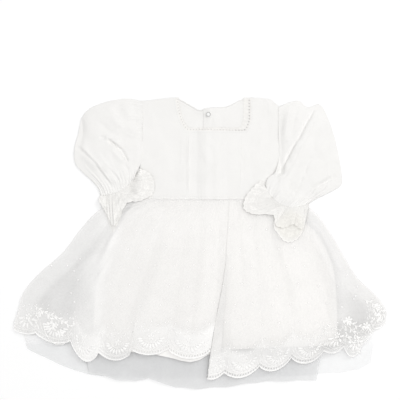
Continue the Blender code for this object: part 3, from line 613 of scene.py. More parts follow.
# %% The fans and the plain hems
FAN = (
    # left_x, left_y, right_x, right_y, and how far the middle hangs below them
    (-93, 63.5, 119, 63.5, 0), (-144, 50, 160, 50, 12), (-175, 20, 186, 20, 16), (-200, -13, 207, -16, 20),
    (-238, -47, 228, -50, 27), (-259, -74, 254, -75, 38), (-266, -100, 269, -97, 50),
    (-272, -126, 269, -116, 66), (-258, -160, 254, -182, 46),
)
LINING_FAN = (
    (-93, 63.5, 119, 63.5, 0), (-113, 38, 142, 38, 3), (-129, 10, 170, 12, 5), (-143, -28, 190, -28, 7),
    (-152, -68, 196, -68, 9), (-155, -112, 198, -112, 12), (-156, -147, 198, -149, 14),
    (-156, -178, 198, -178, 14),
)
LINING_FRONT_HEM = (
    (-156, -147), (-131, -152), (-102, -157), (-73, -160), (-54, -164), (-44, -166), (-30, -170),
    (-15, -172), (-2, -169), (10, -162), (40, -154), (90, -152), (144, -150), (198, -148),
)
LINING_BACK_HEM = ((-156, -143), (-100, -150), (-20, -156), (60, -152), (140, -148), (198, -144))
UNDER_FRONT_HEM = (
    (-252, -128), (-215, -136), (-189, -139), (-167, -150), (-172, -187), (-149, -191), (-124, -198),
    (-96, -202), (-76, -197), (-59, -203), (-37, -209), (-8, -213), (28, -210), (72, -204), (115, -201),
    (150, -200), (171, -200), (174, -158), (207, -147), (234, -140), (252, -124),
)
UNDER_BACK_HEM = (
    (-254, -153), (-218, -171), (-183, -187), (-146, -194), (-60, -197), (60, -196), (144, -193),
    (202, -189), (230, -184), (247, -174),
)


def fan_place(fan, across, down):
    """The plan place at shares across and down a fan."""
    left_x, left_y, right_x, right_y, sag = np.moveaxis(read_rows(fan, down), -1, 0)
    x = left_x + (right_x - left_x) * across
    return x, left_y + (right_y - left_y) * across - sag * 4 * across * (1 - across)


FAN_ABOVE_HEMS = 0.2  # every hem is further down the fan than this share of it
HALVINGS = 24  # of a search between two places, to well under a thousandth of a millimetre


def fan_sheet(fan, hem, across_at, across, down, start=0.0):
    """Places of a sheet on its fan, with its lengths in mm along the hem and above it.

    across_at gives where a column lies across the fan at each depth, and hem gives the hem's y.
    """
    columns, which = np.unique(np.round(across, 6), return_inverse=True)
    low, high = np.full(len(columns), FAN_ABOVE_HEMS), np.ones(len(columns))
    for _ in range(HALVINGS):
        middle = (low + high) / 2
        x, y = fan_place(fan, across_at(columns, middle), middle)
        above = y > hem(x, columns)
        low, high = np.where(above, middle, low), np.where(above, high, middle)
    hem_x, hem_y = fan_place(fan, across_at(columns, low), low)
    along = np.concatenate([[0], np.cumsum(np.hypot(np.diff(hem_x), np.diff(hem_y)))])
    deep = start + (low[which] - start) * down
    x, y = fan_place(fan, across_at(across, deep), deep)
    return x, y, along[which], np.hypot(x - hem_x[which], y - hem_y[which]), deep


def straight(columns, _):
    """Columns that keep their share of the fan's width."""
    return columns


def under_width(columns, down):
    """The under net is narrower than the fan, and most so at its top."""
    left, right = 0.11 - 0.095 * down, 0.90 + 0.085 * down
    return left + (right - left) * columns


def plain_hem(line, wave=0.0):
    """A hem along a line of (x, y), with an unevenness in mm."""
    return lambda x, _: line_at(line, x) + wave * np.sin(x / 9.0) * np.sin(x / 23.0)


# %% Lay a layer of the skirt
SKIRT_SMOOTHING = 24


def skirt_layer(name, node, plan, size, material, relief, from_side=False):
    """Lays a fan sheet in the middle of its solid's wall, smooths it and adds its own folds.

    Its UV map holds lengths along the hem, or from the nearer side edge with from_side, and above the hem.
    """
    mesh, across, down = plan_grid(*size)
    x, y, along, above, deep = plan(across, down)
    low, high = wall_heights(node, x, y)
    set_places(mesh, x, y, (low + high) / 2)
    smooth_heights(mesh, SKIRT_SMOOTHING)
    lift_heights(mesh, relief(x, y, across, deep, above))
    write_uv(mesh, np.minimum(along, along.max() - along) if from_side else along, above)
    print(name, "height:", round(heights_of(mesh).max(), 1), "mm")
    return make_object(mesh, name, material, (node,)), (x, y, along, above)


def waist_gathers(across, y, count, seed, tall, reach):
    return tall * gathered(across, WAIST_Y - y, gather_line(count, seed), reach)


# %% [markdown]
# The back layers are nearly hidden, but they show at the hem's edges and from below, so they get the same
# cloth and softer folds of the same kind.

# %% The back of the skirt
BACK_SCALLOP_LINE = (
    (-272, -120), (-240, -123), (-200, -140), (-150, -156), (-100, -162), (0, -166), (100, -163),
    (180, -152), (225, -136), (252, -115), (269, -108),
)
BACK_SCALLOPS, BACK_SCALLOP_DEPTH = 12, 9
BACK_COLUMNS = 360
PICOT, PICOT_DEPTH = 3.4, 0.9  # the small loops along every scallop


def scallop_hem(rows):
    """A hem of scallops with picots, from rows of both ends (x, y) and how far each bows out."""
    rows = np.asarray(rows, float)

    def hem(x, _=None):
        x = np.clip(x, rows[0, 0], rows[-1, 2])
        at = np.clip(np.searchsorted(rows[:, 2], x), 0, len(rows) - 1)
        left_x, left_y, right_x, right_y, depth = rows[at].T
        share = np.clip((x - left_x) / (right_x - left_x), 0, 1)
        picots = np.round((right_x - left_x) / PICOT)
        bow = depth * np.sin(math.pi * share) ** 0.7
        loops = PICOT_DEPTH * np.abs(np.sin(math.pi * share * picots))
        return left_y + (right_y - left_y) * share - bow - loops

    return hem


UNDER_START = 0.24  # how far down the fan the under net is sewn to the lining
back_ends = np.linspace(BACK_SCALLOP_LINE[0][0], BACK_SCALLOP_LINE[-1][0], BACK_SCALLOPS + 1)
back_scallops = [
    (left, line_at(BACK_SCALLOP_LINE, left), right, line_at(BACK_SCALLOP_LINE, right), BACK_SCALLOP_DEPTH)
    for left, right in zip(back_ends[:-1], back_ends[1:])
]

_, outer_back_plan = skirt_layer(
    "outer_net_back", "overlay_back",
    lambda across, down: fan_sheet(FAN, scallop_hem(back_scallops), straight, across, down),
    (BACK_COLUMNS, 90), BACK_NET,
    lambda x, y, across, deep, above: 0.25 * rumple(x, y, 30, 1.0),
)
skirt_layer(
    "lining_back_cloth", "lining_back",
    lambda across, down: fan_sheet(LINING_FAN, plain_hem(LINING_BACK_HEM), straight, across, down),
    (120, 80), LINING,
    lambda x, y, across, deep, above: 0.2 * rumple(x, y, 40, 2.0),
)
skirt_layer(
    "under_net_back", "petticoat_back",
    lambda across, down: fan_sheet(
        FAN, plain_hem(UNDER_BACK_HEM, 1.0), under_width, across, down, UNDER_START,
    ),
    (200, 80), UNDER_NET,
    lambda x, y, across, deep, above: 0.3 * rumple(x, y, 26, 3.0),
    from_side=True,
)

# %% [markdown]
# The front's under net hangs below all the other layers, and the front's lining is the opaque white in the
# skirt's middle. Both are laid as the back layers are, with a table of folds each, as both show at the hem.

# %% The under net and the lining of the front
UNDER_FOLDS = (
    # both ends, half width, height, lean
    (-150, -120, -168, -184, 7, 0.9, 0.4), (-95, -120, -104, -200, 6, 0.8, -0.4),
    (-66, -130, -72, -198, 5, -0.8, 0), (-44, -130, -52, -206, 5, 1.0, 0.5),
    (-4, -140, -6, -212, 7, 0.8, -0.3), (34, -140, 40, -208, 6, -0.6, 0),
    (92, -130, 104, -202, 7, 0.9, 0.4), (150, -120, 166, -198, 6, 0.8, -0.4),
    (-205, -110, -226, -160, 6, 0.7, 0.3), (205, -120, 224, -172, 6, 0.7, -0.3),
    (-60, -150, -20, -190, 12, -0.5, 0), (70, -140, 60, -200, 9, 0.5, 0.2),
)
LINING_FOLDS = (
    (-58, -60, -50, -166, 6, -1.3, 0.3), (-40, -105, -44, -172, 5, 1.3, -0.4),
    (2, -105, 8, -168, 5, 1.2, 0.5), (-22, -112, -18, -172, 14, 0.9, 0), (16, -100, 14, -160, 4, -1.2, 0.2),
    (-110, 20, -128, -140, 12, 0.8, 0.3), (70, 30, 84, -146, 14, 0.9, -0.3),
    (128, 20, 150, -140, 12, 0.8, 0.3), (-80, 30, -90, -150, 11, 0.6, 0),
)
skirt_layer(
    "under_net_front", "petticoat_front",
    lambda across, down: fan_sheet(
        FAN, plain_hem(UNDER_FRONT_HEM, 1.2), under_width, across, down, UNDER_START,
    ),
    (240, 100), UNDER_NET_FRONT,
    lambda x, y, across, deep, above: 0.35 * rumple(x, y, 22, 4.0) + 0.7 * creases(UNDER_FOLDS, x, y),
    from_side=True,
)
skirt_layer(
    "lining_front_cloth", "lining_front",
    lambda across, down: fan_sheet(LINING_FAN, plain_hem(LINING_FRONT_HEM), straight, across, down),
    (220, 130), LINING,
    lambda x, y, across, deep, above: (
        0.3 * rumple(x, y, 30, 5.0) + 0.6 * creases(LINING_FOLDS, x, y)
        + waist_gathers(across, y, 60, 11, 0.5, 60)
    ),
)

# %% [markdown]
# ## The outer net of the front
#
# This is the sheet that gives the dress its look. It is gathered at the waist, its folds run down to a
# scalloped hem, and right of the middle one deep pleat is laid over: the cloth turns under at the pleat's
# edge, runs back and comes out on top. So its columns run in three parts: the left part, which goes on under
# the pleat, the part that is turned back, and the right part on top, which hangs lower.

# %% The pleat and the scallops
PLEAT = ((41, 55), (38, 12), (36, -28), (30, -68), (21, -112), (14, -155), (9, -196))
PLEAT_TURN = 20  # how far the cloth runs back under the pleat, in mm
PLEAT_UNDER, PLEAT_TURNED = 0.9, 0.3  # how far under the solid's underside the two hidden layers lie
PLEAT_CLEAR = 12  # near the pleat's edge the layers under it have no folds of their own
NET_SMOOTHING = 22
PLEAT_STOPS = np.linspace(0, 1, 41)
FRONT_SCALLOPS_LEFT = (
    # left_x, left_y, right_x, right_y, depth
    (-272, -126, -240, -130, 4), (-240, -130, -189, -141, 9), (-189, -141, -148, -157, 22),
    (-148, -157, -101, -158, 12), (-101, -152, -47, -152, 9), (-47, -154, 12, -157, 11),
)
FRONT_SCALLOPS_RIGHT = (
    (9, -196, 34, -187, 5), (34, -187, 85, -178, 12), (85, -178, 131, -165, 13), (131, -165, 178, -155, 14),
    (178, -155, 207, -149, 7), (207, -149, 234, -147, 17), (234, -147, 252, -124, 4),
    (252, -124, 269, -116, 3),
)
LEFT_COLUMNS, TURNED_COLUMNS, RIGHT_COLUMNS, FRONT_ROWS = 200, 14, 176, 150
FRONT_COLUMNS = LEFT_COLUMNS + TURNED_COLUMNS + RIGHT_COLUMNS
LEFT_SHARE = LEFT_COLUMNS / FRONT_COLUMNS
TURNED_SHARE = (LEFT_COLUMNS + TURNED_COLUMNS) / FRONT_COLUMNS


def pleat_x(y):
    """The x of the pleat's edge."""
    line = np.asarray(PLEAT, float)
    return np.interp(-y, -line[:, 1], line[:, 0])


def pleat_depth(y):
    """How far the pleat is laid over, from 0 at the waist to 1."""
    return ease((45 - y) / 90)


def pleat_edge(stop):
    """Where across the fan the pleat's edge is, at one depth."""
    low, high = 0.0, 1.0
    for _ in range(HALVINGS):
        middle = (low + high) / 2
        x, y = fan_place(FAN, np.array([middle]), np.array([stop]))
        if x[0] < pleat_x(y)[0]:
            low = middle
        else:
            high = middle
    return low


edge_line = np.array([pleat_edge(stop) for stop in PLEAT_STOPS])
print("the pleat's edge across the fan:", edge_line[::10].round(3))


def pleated_across(columns, deep):
    """Where a column of the pleated net lies across the fan."""
    edge = np.interp(deep, PLEAT_STOPS, edge_line)
    rows = read_rows(FAN, deep)
    wide = rows[..., 2] - rows[..., 0]
    turn = PLEAT_TURN * ease((rows[..., 1] + rows[..., 3]) / -360 + 0.15) / wide
    left = (edge + turn) * columns / LEFT_SHARE
    back = edge + turn * (1 - (columns - LEFT_SHARE) / (TURNED_SHARE - LEFT_SHARE))
    right = edge + (1 - edge) * (columns - TURNED_SHARE) / (1 - TURNED_SHARE)
    return np.where(columns <= LEFT_SHARE, left, np.where(columns <= TURNED_SHARE, back, right))


left_hem, right_hem = scallop_hem(FRONT_SCALLOPS_LEFT), scallop_hem(FRONT_SCALLOPS_RIGHT)


def pleated_hem(x, columns):
    """The hem runs over from the left scallops to the right ones along the cloth that is turned back."""
    share = np.clip((columns - LEFT_SHARE) / (TURNED_SHARE - LEFT_SHARE), 0, 1)
    return left_hem(x) * (1 - share) + right_hem(x) * share


# %% The folds of the outer net
NET_FOLDS = (
    # both ends, half width, height, lean; heights below 0 are troughs
    (-66, 56, -186, -112, 7, 0.9, 0.3), (-74, 52, -214, -92, 6, -0.8, 0.2),
    (-58, 56, -150, -140, 9, 1.2, -0.3), (-50, 58, -118, -150, 6, -0.9, 0.2),
    (-38, 58, -86, -146, 9, 1.6, 0.4), (-30, 58, -66, -148, 6, -1.0, 0), (-14, 58, -40, -146, 8, 0.9, -0.4),
    (0, 56, -16, -150, 7, -0.9, 0.3), (16, 56, -2, -100, 8, 1.1, 0.2), (28, 52, 18, -140, 6, -1.5, 0.4),
    (38, 24, 36, -20, 6, 1.0, 0), (50, 56, 52, -160, 8, 1.0, 0.3), (60, 54, 66, -60, 7, 1.2, -0.3),
    (70, 50, 92, -158, 7, -1.0, 0.3), (84, 54, 118, -150, 9, 1.3, 0.4), (92, 54, 140, -140, 7, -0.9, -0.2),
    (100, 40, 150, -100, 9, 1.5, 0.2), (106, 50, 190, -130, 8, 0.8, 0.3),
    (112, 48, 222, -120, 7, -0.7, 0.2), (118, 44, 240, -90, 8, 0.8, -0.3),
    (-80, 46, -242, -90, 8, 0.8, 0.3), (-74, -78, -14, -108, 11, -1.1, 0.2),
    (40, -110, 120, -118, 12, -0.6, 0), (-150, -60, -190, -70, 8, 0.5, 0),
    (-236, -50, -178, -48, 3, 0.6, 0.5), (-255, -72, -180, -74, 3, 0.5, 0.4),
    (200, -60, 246, -90, 6, 0.6, 0.3),
)
NET_FLUTES, NET_FLUTE_TALL = 34, 0.9


def pleated_net(name, node):
    """Lays the outer net of the front: as skirt_layer does, but with the pleat's hidden layers lower."""
    mesh, across, down = plan_grid(FRONT_COLUMNS, FRONT_ROWS)
    x, y, along, above, deep = fan_sheet(FAN, pleated_hem, pleated_across, across, down)
    low, high = wall_heights(node, x, y)
    z = (low + high) / 2
    is_back = (across > LEFT_SHARE) & (across <= TURNED_SHARE)
    is_under = (across <= LEFT_SHARE) & (x > pleat_x(y) - 1)
    z = np.where(is_under, low - PLEAT_UNDER * pleat_depth(y), z)
    z = np.where(is_back, low - PLEAT_TURNED * pleat_depth(y), z)
    set_places(mesh, x, y, z)
    smooth_heights(mesh, NET_SMOOTHING)
    flutes = gathered(across, 0 * across, gather_line(NET_FLUTES, 21), 1.0)
    flutes *= NET_FLUTE_TALL * ease((deep - 0.3) / 0.7)
    free = 1 - ease((x - pleat_x(y) + PLEAT_CLEAR) / PLEAT_CLEAR) * (across <= TURNED_SHARE)
    relief = 0.8 * creases(NET_FOLDS, x, y) + 0.25 * rumple(x, y, 24, 6.0) + flutes
    relief += waist_gathers(across, y, 95, 22, 0.6, 70)
    lift_heights(mesh, relief * free)
    write_uv(mesh, along, above)
    print(name, "height:", round(heights_of(mesh).max(), 1), "mm")
    return make_object(mesh, name, OUTER_NET, (node,)), (x, y, along, above)


_, outer_front_plan = pleated_net("outer_net_front", "overlay_front")

# %% [markdown]
# ## The embroidery
#
# The outer net has a border worked in white thread: a corded edge with small eyelets, a shell of satin-stitch
# petals over each scallop, flowers between them and a fine vine above. A machine works it on flat net before
# the skirt is cut. So it is modelled flat here too, in millimetres along the hem and above it, as one joined
# mesh, and then each of its points is laid on the gathered net.


# %% From the flat border to the gathered net
def hem_columns(plan, columns):
    """A hemmed sheet's plan places, lengths along the hem and above it, column by column from the hem up."""
    x, y, along, above = plan
    order = np.lexsort((above, along))
    return [part[order].reshape(columns + 1, -1) for part in (x, y, along, above)]


def gathered_place(sheet, along, above):
    """The plan places of lengths along and above a sheet's hem."""
    x, y, hem_along, heights = sheet
    at = np.interp(along, hem_along[:, 0], np.arange(len(hem_along)))
    low = np.minimum(at.astype(int), len(hem_along) - 2)
    places = []
    for column in (low, low + 1):
        row = np.clip((heights[column] <= above[:, None]).sum(axis=1) - 1, 0, heights.shape[1] - 2)
        share = (above - heights[column, row]) / (heights[column, row + 1] - heights[column, row])
        places.append([
            line[column, row] + (line[column, row + 1] - line[column, row]) * share for line in (x, y)
        ])
    part = at - low
    return [near * (1 - part) + far * part for near, far in zip(*places)]


def cloth_heights(surfaces, x, y, side=1):
    """The height in mm of the highest of the surfaces at each place, or of the lowest with side -1."""
    trees = [tree_of(surface) for surface in surfaces]
    heights = np.zeros(len(x))
    for k, (plan_x, plan_y) in enumerate(zip(x, y)):
        spot = Vector((plan_x + SHIFT_X, plan_y + SHIFT_Y, 0)) * MM
        hits = [tree.ray_cast(spot + Vector((0, 0, side)), Vector((0, 0, -side)))[0] for tree in trees]
        near = spot + Vector((0, 0, 0.01))
        hits = [hit for hit in hits if hit] or [tree.find_nearest(near)[0] for tree in trees]
        heights[k] = max(hit.z * side for hit in hits) * side / MM
    return heights


def lay_on_cloth(mesh, name, material, surfaces, place=None, lift=0.1, side=1):
    """Moves a flat mesh in mm to its places of the plan and on top of pieces, or under them with side -1."""
    flat = np.array([vert.co for vert in mesh.verts])
    x, y = place(flat[:, 0], flat[:, 1]) if place else (flat[:, 0], flat[:, 1])
    set_places(mesh, x, y, cloth_heights(surfaces, x, y, side) + side * (flat[:, 2] + lift))
    if side < 0:
        bmesh.ops.reverse_faces(mesh, faces=mesh.faces)
    return make_object(mesh, name, material, (), faces_up=False)


# %% Threads and stitched petals
def add_cords(mesh, lines):
    """Round threads, each given by its points in mm and its radius."""
    curve = bpy.data.curves.new("cords", "CURVE")
    curve.dimensions = "3D"
    curve.bevel_depth = 1.0
    curve.bevel_resolution = 1
    curve.use_fill_caps = True
    for points, radius in lines:
        spline = curve.splines.new("POLY")
        spline.points.add(len(points) - 1)
        for point, place in zip(spline.points, points):
            point.co = (place[0], place[1], place[2] if len(place) > 2 else 0, 1)
            point.radius = radius
    drawn = bpy.data.objects.new("cords", curve)
    bpy.context.scene.collection.objects.link(drawn)
    data = bpy.data.meshes.new_from_object(drawn.evaluated_get(bpy.context.evaluated_depsgraph_get()))
    mesh.from_mesh(data)
    bpy.data.objects.remove(drawn)
    bpy.data.curves.remove(curve)
    bpy.data.meshes.remove(data)


ball = bmesh.new()
bmesh.ops.create_uvsphere(ball, u_segments=9, v_segments=5, radius=1)
ball_data = bpy.data.meshes.new("petal_ball")
ball.to_mesh(ball_data)
ball.free()


PETAL_THICK, FLOWER_TURN = 0.28, 0.3


def add_petal(mesh, x, y, length, width, turn, thick=PETAL_THICK):
    """A petal of satin stitch: a flattened ball whose length points along turn, in radians.

    Copies of one ball are added, because making each anew takes a hundred times longer.
    """
    matrix = Matrix.Translation((x, y, 0)) @ Matrix.Rotation(turn, 4, "Z")
    petal = ball_data.copy()
    petal.transform(matrix @ Matrix.Diagonal((length / 2, width / 2, thick, 1)))
    mesh.from_mesh(petal)
    bpy.data.meshes.remove(petal)


def add_flower(mesh, x, y, size, petals=5):
    for k in range(petals):
        angle = FLOWER_TURN + 2 * math.pi * k / petals
        petal_x, petal_y = x + 0.3 * size * math.cos(angle), y + 0.3 * size * math.sin(angle)
        add_petal(mesh, petal_x, petal_y, 0.42 * size, 0.27 * size, angle)
    add_petal(mesh, x, y, 0.16 * size, 0.16 * size, 0, thick=0.7)


LEAF, LEAF_STEP, LEAF_LEAN, STEM_RADIUS = 6.0, 5.0, 0.8, 0.6


def add_spray(mesh, cords, points):
    """A stem along points, with leaves that stand to its left and right in turn."""
    points = np.asarray(points, float)
    run = np.concatenate([[0], np.cumsum(np.hypot(*np.diff(points, axis=0).T))])
    places = np.arange(0, run[-1] + 0.1, 1.5)
    x, y = np.interp(places, run, points[:, 0]), np.interp(places, run, points[:, 1])
    cords.append((np.column_stack([x, y]), STEM_RADIUS))
    for k, place in enumerate(np.arange(LEAF_STEP * 0.6, run[-1], LEAF_STEP)):
        px, py = np.interp(place, run, points[:, 0]), np.interp(place, run, points[:, 1])
        qx, qy = np.interp(place + 1, run, points[:, 0]), np.interp(place + 1, run, points[:, 1])
        heading = math.atan2(qy - py, qx - px) if place + 1 < run[-1] else 0.0
        side = heading + (LEAF_LEAN if k % 2 else -LEAF_LEAN)
        leaf_x, leaf_y = px + 0.5 * LEAF * math.cos(side), py + 0.5 * LEAF * math.sin(side)
        add_petal(mesh, leaf_x, leaf_y, LEAF, 0.4 * LEAF, side)


# %% The border's pattern
# heights above the hem, sizes and steps in mm, and spreads in degrees
SHELL_BASE, SHELL_REACH, SHELL_SPREAD, SHELL_WIDTH = 25.0, 17.0, 144, 42
SHELL_ARCS = ((19.5, 17.6, 0.4), (7.0, 6.6, 0.35))  # half width, depth and cord radius of its two arcs
ARC_SPREAD, ARC_STEPS = 168, 24
PETAL_STEP, FEWEST_PETALS, MOST_PETALS = 5.2, 5, 11
VINE_HEIGHT, VINE_SWING, VINE_WAVE, VINE_LEAF_STEP = 35.0, 2.6, 7.0, 5.6
EYELET_LINE = 6.6


def add_border(mesh, stops, rich=True):
    """The border over scallops that end at stops, in mm along the hem. A rich one has more flowers."""
    cords = []
    span = np.arange(stops[0], stops[-1], 1.2)
    cords.append((np.column_stack([span, np.full(len(span), 0.5)]), 0.5))
    cords.append((np.column_stack([span, np.full(len(span), EYELET_LINE)]), 0.35))
    for start, end in zip(stops[:-1], stops[1:]):
        width, middle = end - start, (start + end) / 2
        petals = int(np.clip(width / PETAL_STEP, FEWEST_PETALS, MOST_PETALS))
        stretch = width / SHELL_WIDTH
        for k in range(petals):
            lean = math.radians(-SHELL_SPREAD / 2 + SHELL_SPREAD * k / (petals - 1))
            x = middle + stretch * SHELL_REACH * 0.72 * math.sin(lean)
            y = SHELL_BASE - SHELL_REACH * 0.72 * math.cos(lean)
            turn = math.atan2(-math.cos(lean), stretch * math.sin(lean))
            add_petal(mesh, x, y, 10.0, 3.1, turn)
        turns = [math.radians(-ARC_SPREAD / 2 + ARC_SPREAD * k / ARC_STEPS) for k in range(ARC_STEPS + 1)]
        for half, depth, radius in SHELL_ARCS:
            arc = [(middle + stretch * half * math.sin(a), SHELL_BASE - depth * math.cos(a)) for a in turns]
            cords.append((arc, radius))
        add_flower(mesh, middle, SHELL_BASE + 1.5, 10.0)
        if not rich:
            continue
        add_flower(mesh, start, SHELL_BASE + 2.5, 7.0, petals=6)
        for lean in (-0.5, 0.0, 0.5):
            add_petal(mesh, start + 7 * math.sin(lean), 15 - 4 * math.cos(lean), 6.0, 2.1, math.pi / 2 + lean)
    vine = VINE_HEIGHT + VINE_SWING * np.sin(span / VINE_WAVE)
    cords.append((np.column_stack([span, vine]), 0.3))
    if rich:
        for k, place in enumerate(np.arange(stops[0] + 3, stops[-1] - 3, VINE_LEAF_STEP)):
            height = VINE_HEIGHT + VINE_SWING * math.sin(place / VINE_WAVE) + (2.2 if k % 2 else -2.2)
            add_petal(mesh, place, height, 3.8, 1.5, 0.9 if k % 2 else -0.9)
        for place in np.arange(stops[0] + 5, stops[-1] - 3, 11.0):
            add_petal(mesh, place, VINE_HEIGHT + 9, 1.7, 1.7, 0.0, thick=0.12)
    add_cords(mesh, cords)


def scallop_stops(sheet, rows, first, last):
    """Where scallops end, in mm along the hem, between two of the sheet's columns."""
    hem_x, hem_along = sheet[0][first:last, 0], sheet[2][first:last, 0]
    ends = [rows[0][0], *(row[2] for row in rows)]
    return np.unique(np.interp(ends, hem_x, hem_along))


# %% The border of the front
front_sheet = hem_columns(outer_front_plan, FRONT_COLUMNS)
left_stops = scallop_stops(front_sheet, FRONT_SCALLOPS_LEFT, 0, LEFT_COLUMNS - 6)
first_right = LEFT_COLUMNS + TURNED_COLUMNS + 1
right_stops = scallop_stops(front_sheet, FRONT_SCALLOPS_RIGHT, first_right, FRONT_COLUMNS + 1)
front_border = bmesh.new()
add_border(front_border, left_stops)
add_border(front_border, right_stops)
lay_on_cloth(
    front_border, "embroidered_border_front", EMBROIDERY, ["outer_net_front"],
    lambda along, above: gathered_place(front_sheet, along, above),
)

# %% The border of the back
back_sheet = hem_columns(outer_back_plan, BACK_COLUMNS)
back_border = bmesh.new()
add_border(back_border, scallop_stops(back_sheet, back_scallops, 0, BACK_COLUMNS + 1), rich=False)
lay_on_cloth(
    back_border, "embroidered_border_back", EMBROIDERY, ["outer_net_back"],
    lambda along, above: gathered_place(back_sheet, along, above), lift=-0.1, side=-1,
)

# %% [markdown]
# Above the border the net is strewn with small worked dots, and at both sides larger sprays climb up from the
# hem, where the photograph shows them best against the floor. They follow no seam, so they are drawn on the
# plan, and each of their points is lifted straight onto the net.

# %% Dots and sprays
SIDE_DOTS = (
    (-175.5, -23), (-184.2, -40.4), (-178.4, -53.4), (-188.5, -72.3), (-183.5, -85.3), (-217.5, -33.1),
    (-194.3, -33.1), (213.1, -46.2), (227.6, -63.6), (224.7, -76.6), (221.8, -81), (204.4, -92.6),
)
SPRAYS = (
    ((-242, -91), (-232, -98), (-221, -104), (-210, -106)), ((-212, -104), (-200, -114), (-186, -122)),
    ((-254, -110), (-246, -112), (-237, -113)), ((-222, -102), (-215, -114), (-214, -124)),
    ((203, -111), (214, -114), (225, -120), (238, -123), (246, -124)),
    ((210, -129), (219, -143), (229, -157)),
    ((216, -122), (225, -134), (232, -145)), ((252, -98), (258, -106), (261, -114)),
    ((238, -82), (250, -88), (258, -96)),
)
SPRAY_RIM = (
    (-229, -117), (-226, -130), (-219, -142), (-210, -147), (-200, -147), (-192, -141), (-193, -128),
)
SIDE_FLOWERS = (
    # x, y, size
    (-218, -120, 16), (-204, -131, 13), (-236, -104, 10), (214, -112, 13), (240, -120, 12), (256, -92, 10),
)
DOT_STEP, DOT_STRAY = 27.0, 3  # the dots' rows, and how far a dot strays from them
DOT_CLEAR, DOT_REACH = 14, 235  # they keep away from the side dots and from the edges
side_work = bmesh.new()
side_cords = []
for points in SPRAYS:
    add_spray(side_work, side_cords, points)
for x, y, size in SIDE_FLOWERS:
    add_flower(side_work, x, y, size, petals=6)
chance = np.random.default_rng(5)
for row, y in enumerate(np.arange(20, -120, -DOT_STEP)):
    half_width = 120 + 0.95 * (20 - y)
    for x in np.arange(-half_width + DOT_STEP * (row % 2) / 2, half_width, DOT_STEP):
        dot_x = x + chance.uniform(-DOT_STRAY, DOT_STRAY)
        dot_y = y + chance.uniform(-DOT_STRAY, DOT_STRAY)
        clear = all(math.hypot(dot_x - px, dot_y - py) > DOT_CLEAR for px, py in SIDE_DOTS)
        if clear and abs(dot_x) < DOT_REACH:
            add_petal(side_work, dot_x, dot_y, 1.7, 1.7, 0.0, thick=0.1)
for x, y in SIDE_DOTS:
    add_petal(side_work, x, y, 2.9, 2.6, 0.0, thick=0.6)
side_cords.append((SPRAY_RIM, STEM_RADIUS))
add_cords(side_work, side_cords)
lay_on_cloth(side_work, "embroidered_sprays", EMBROIDERY, ["outer_net_front"])

# %% [markdown]
# ## The bodice
#
# Plain cotton: two halves at the back that lap over each other and close with a press stud, and a front with
# a square neck. It has small tucks below the neck and soft wrinkles where it was pressed by hand. A flat
# outline could be filled with faces, but a grid keeps rows level with the waist, which its gathers follow.

# %% Edges of the bodice
BODICE_LEFT_EDGE = ((64, -92), (90, -90), (125, -87), (148, -86), (212, -86))
BODICE_RIGHT_EDGE = ((64, 118), (90, 117), (125, 115), (148, 114), (212, 114))
FRONT_TOP = (
    (-86, 206.5), (-72, 207.5), (-58, 209.5), (-37, 211.5), (73, 211.5), (90, 210.5), (102, 208.5),
    (110, 202), (114, 198),
)
BACK_TOP = (
    (-86, 206), (-72, 207), (-58, 209), (-38, 211), (-33, 210), (-25, 206), (-15, 200), (-9, 196.5),
    (-5, 194), (1, 193), (4, 195.5), (21, 197), (36, 198), (46, 202), (54, 206.5), (66, 211),
    (90, 210), (102, 208), (110, 201.5), (114, 197.5),
)
NECK_SIDES = ((-20, 66, 163), (-24, 69, 167), (-30, 73, 178), (-35, 73, 195), (-37, 73, 211.5))
BACK_EDGE_X, BACK_LAP = 4, 18
BACK_LAP_HEIGHT, PRESSED_WIDTH = 1.1, 9  # the free edges are pressed down to this height over this width
BACK_SMOOTHING, FRONT_SMOOTHING = 10, 14
HEM_FOLD, PLACKET, NECK_BAND = 1.2, 11, 5.5  # widths in mm of the free edge's parts and the neck's facing


# %% The two halves of the back
def back_half(name, node, free_edge_x, side_edge):
    """One half: a grid from its free edge to its armhole, with a placket and a faced neck."""
    mesh, across, down = plan_grid(90, 110)
    seam_x = line_at(side_edge, 205 + (WAIST_Y - 205) * down)
    left, right = np.minimum(seam_x, free_edge_x), np.maximum(seam_x, free_edge_x)
    x = left + (right - left) * across
    top = line_at(BACK_TOP, x)
    y = top + (WAIST_Y - top) * down
    low, high = wall_heights(node, x, y)
    set_places(mesh, x, y, (low + high) / 2)
    smooth_heights(mesh, BACK_SMOOTHING)
    edge = np.abs(x - free_edge_x)
    placket = 0.25 * (ease(PLACKET - edge) - ease((HEM_FOLD - edge) / HEM_FOLD))
    neck_band = 0.3 * ease(NECK_BAND - (top - y))
    above_lap = np.minimum(BACK_LAP_HEIGHT - heights_of(mesh), 0)
    pressed = 0.85 * ease((PRESSED_WIDTH - edge) / PRESSED_WIDTH) * above_lap
    lift_heights(mesh, 0.35 * rumple(x, y, 24, 7.0) + placket + neck_band + pressed)
    write_uv(mesh, x, y)
    return make_object(mesh, name, COTTON, (node,))


back_half("back_cloth_left", "back_bodice_left", BACK_EDGE_X + BACK_LAP, BODICE_LEFT_EDGE)
back_half("back_cloth_right", "back_bodice_right", BACK_EDGE_X, BODICE_RIGHT_EDGE)

# %% [markdown]
# The front is one grid too. Its upper rows run up the two straps beside the neck, and the faces of the neck
# between them are taken out.

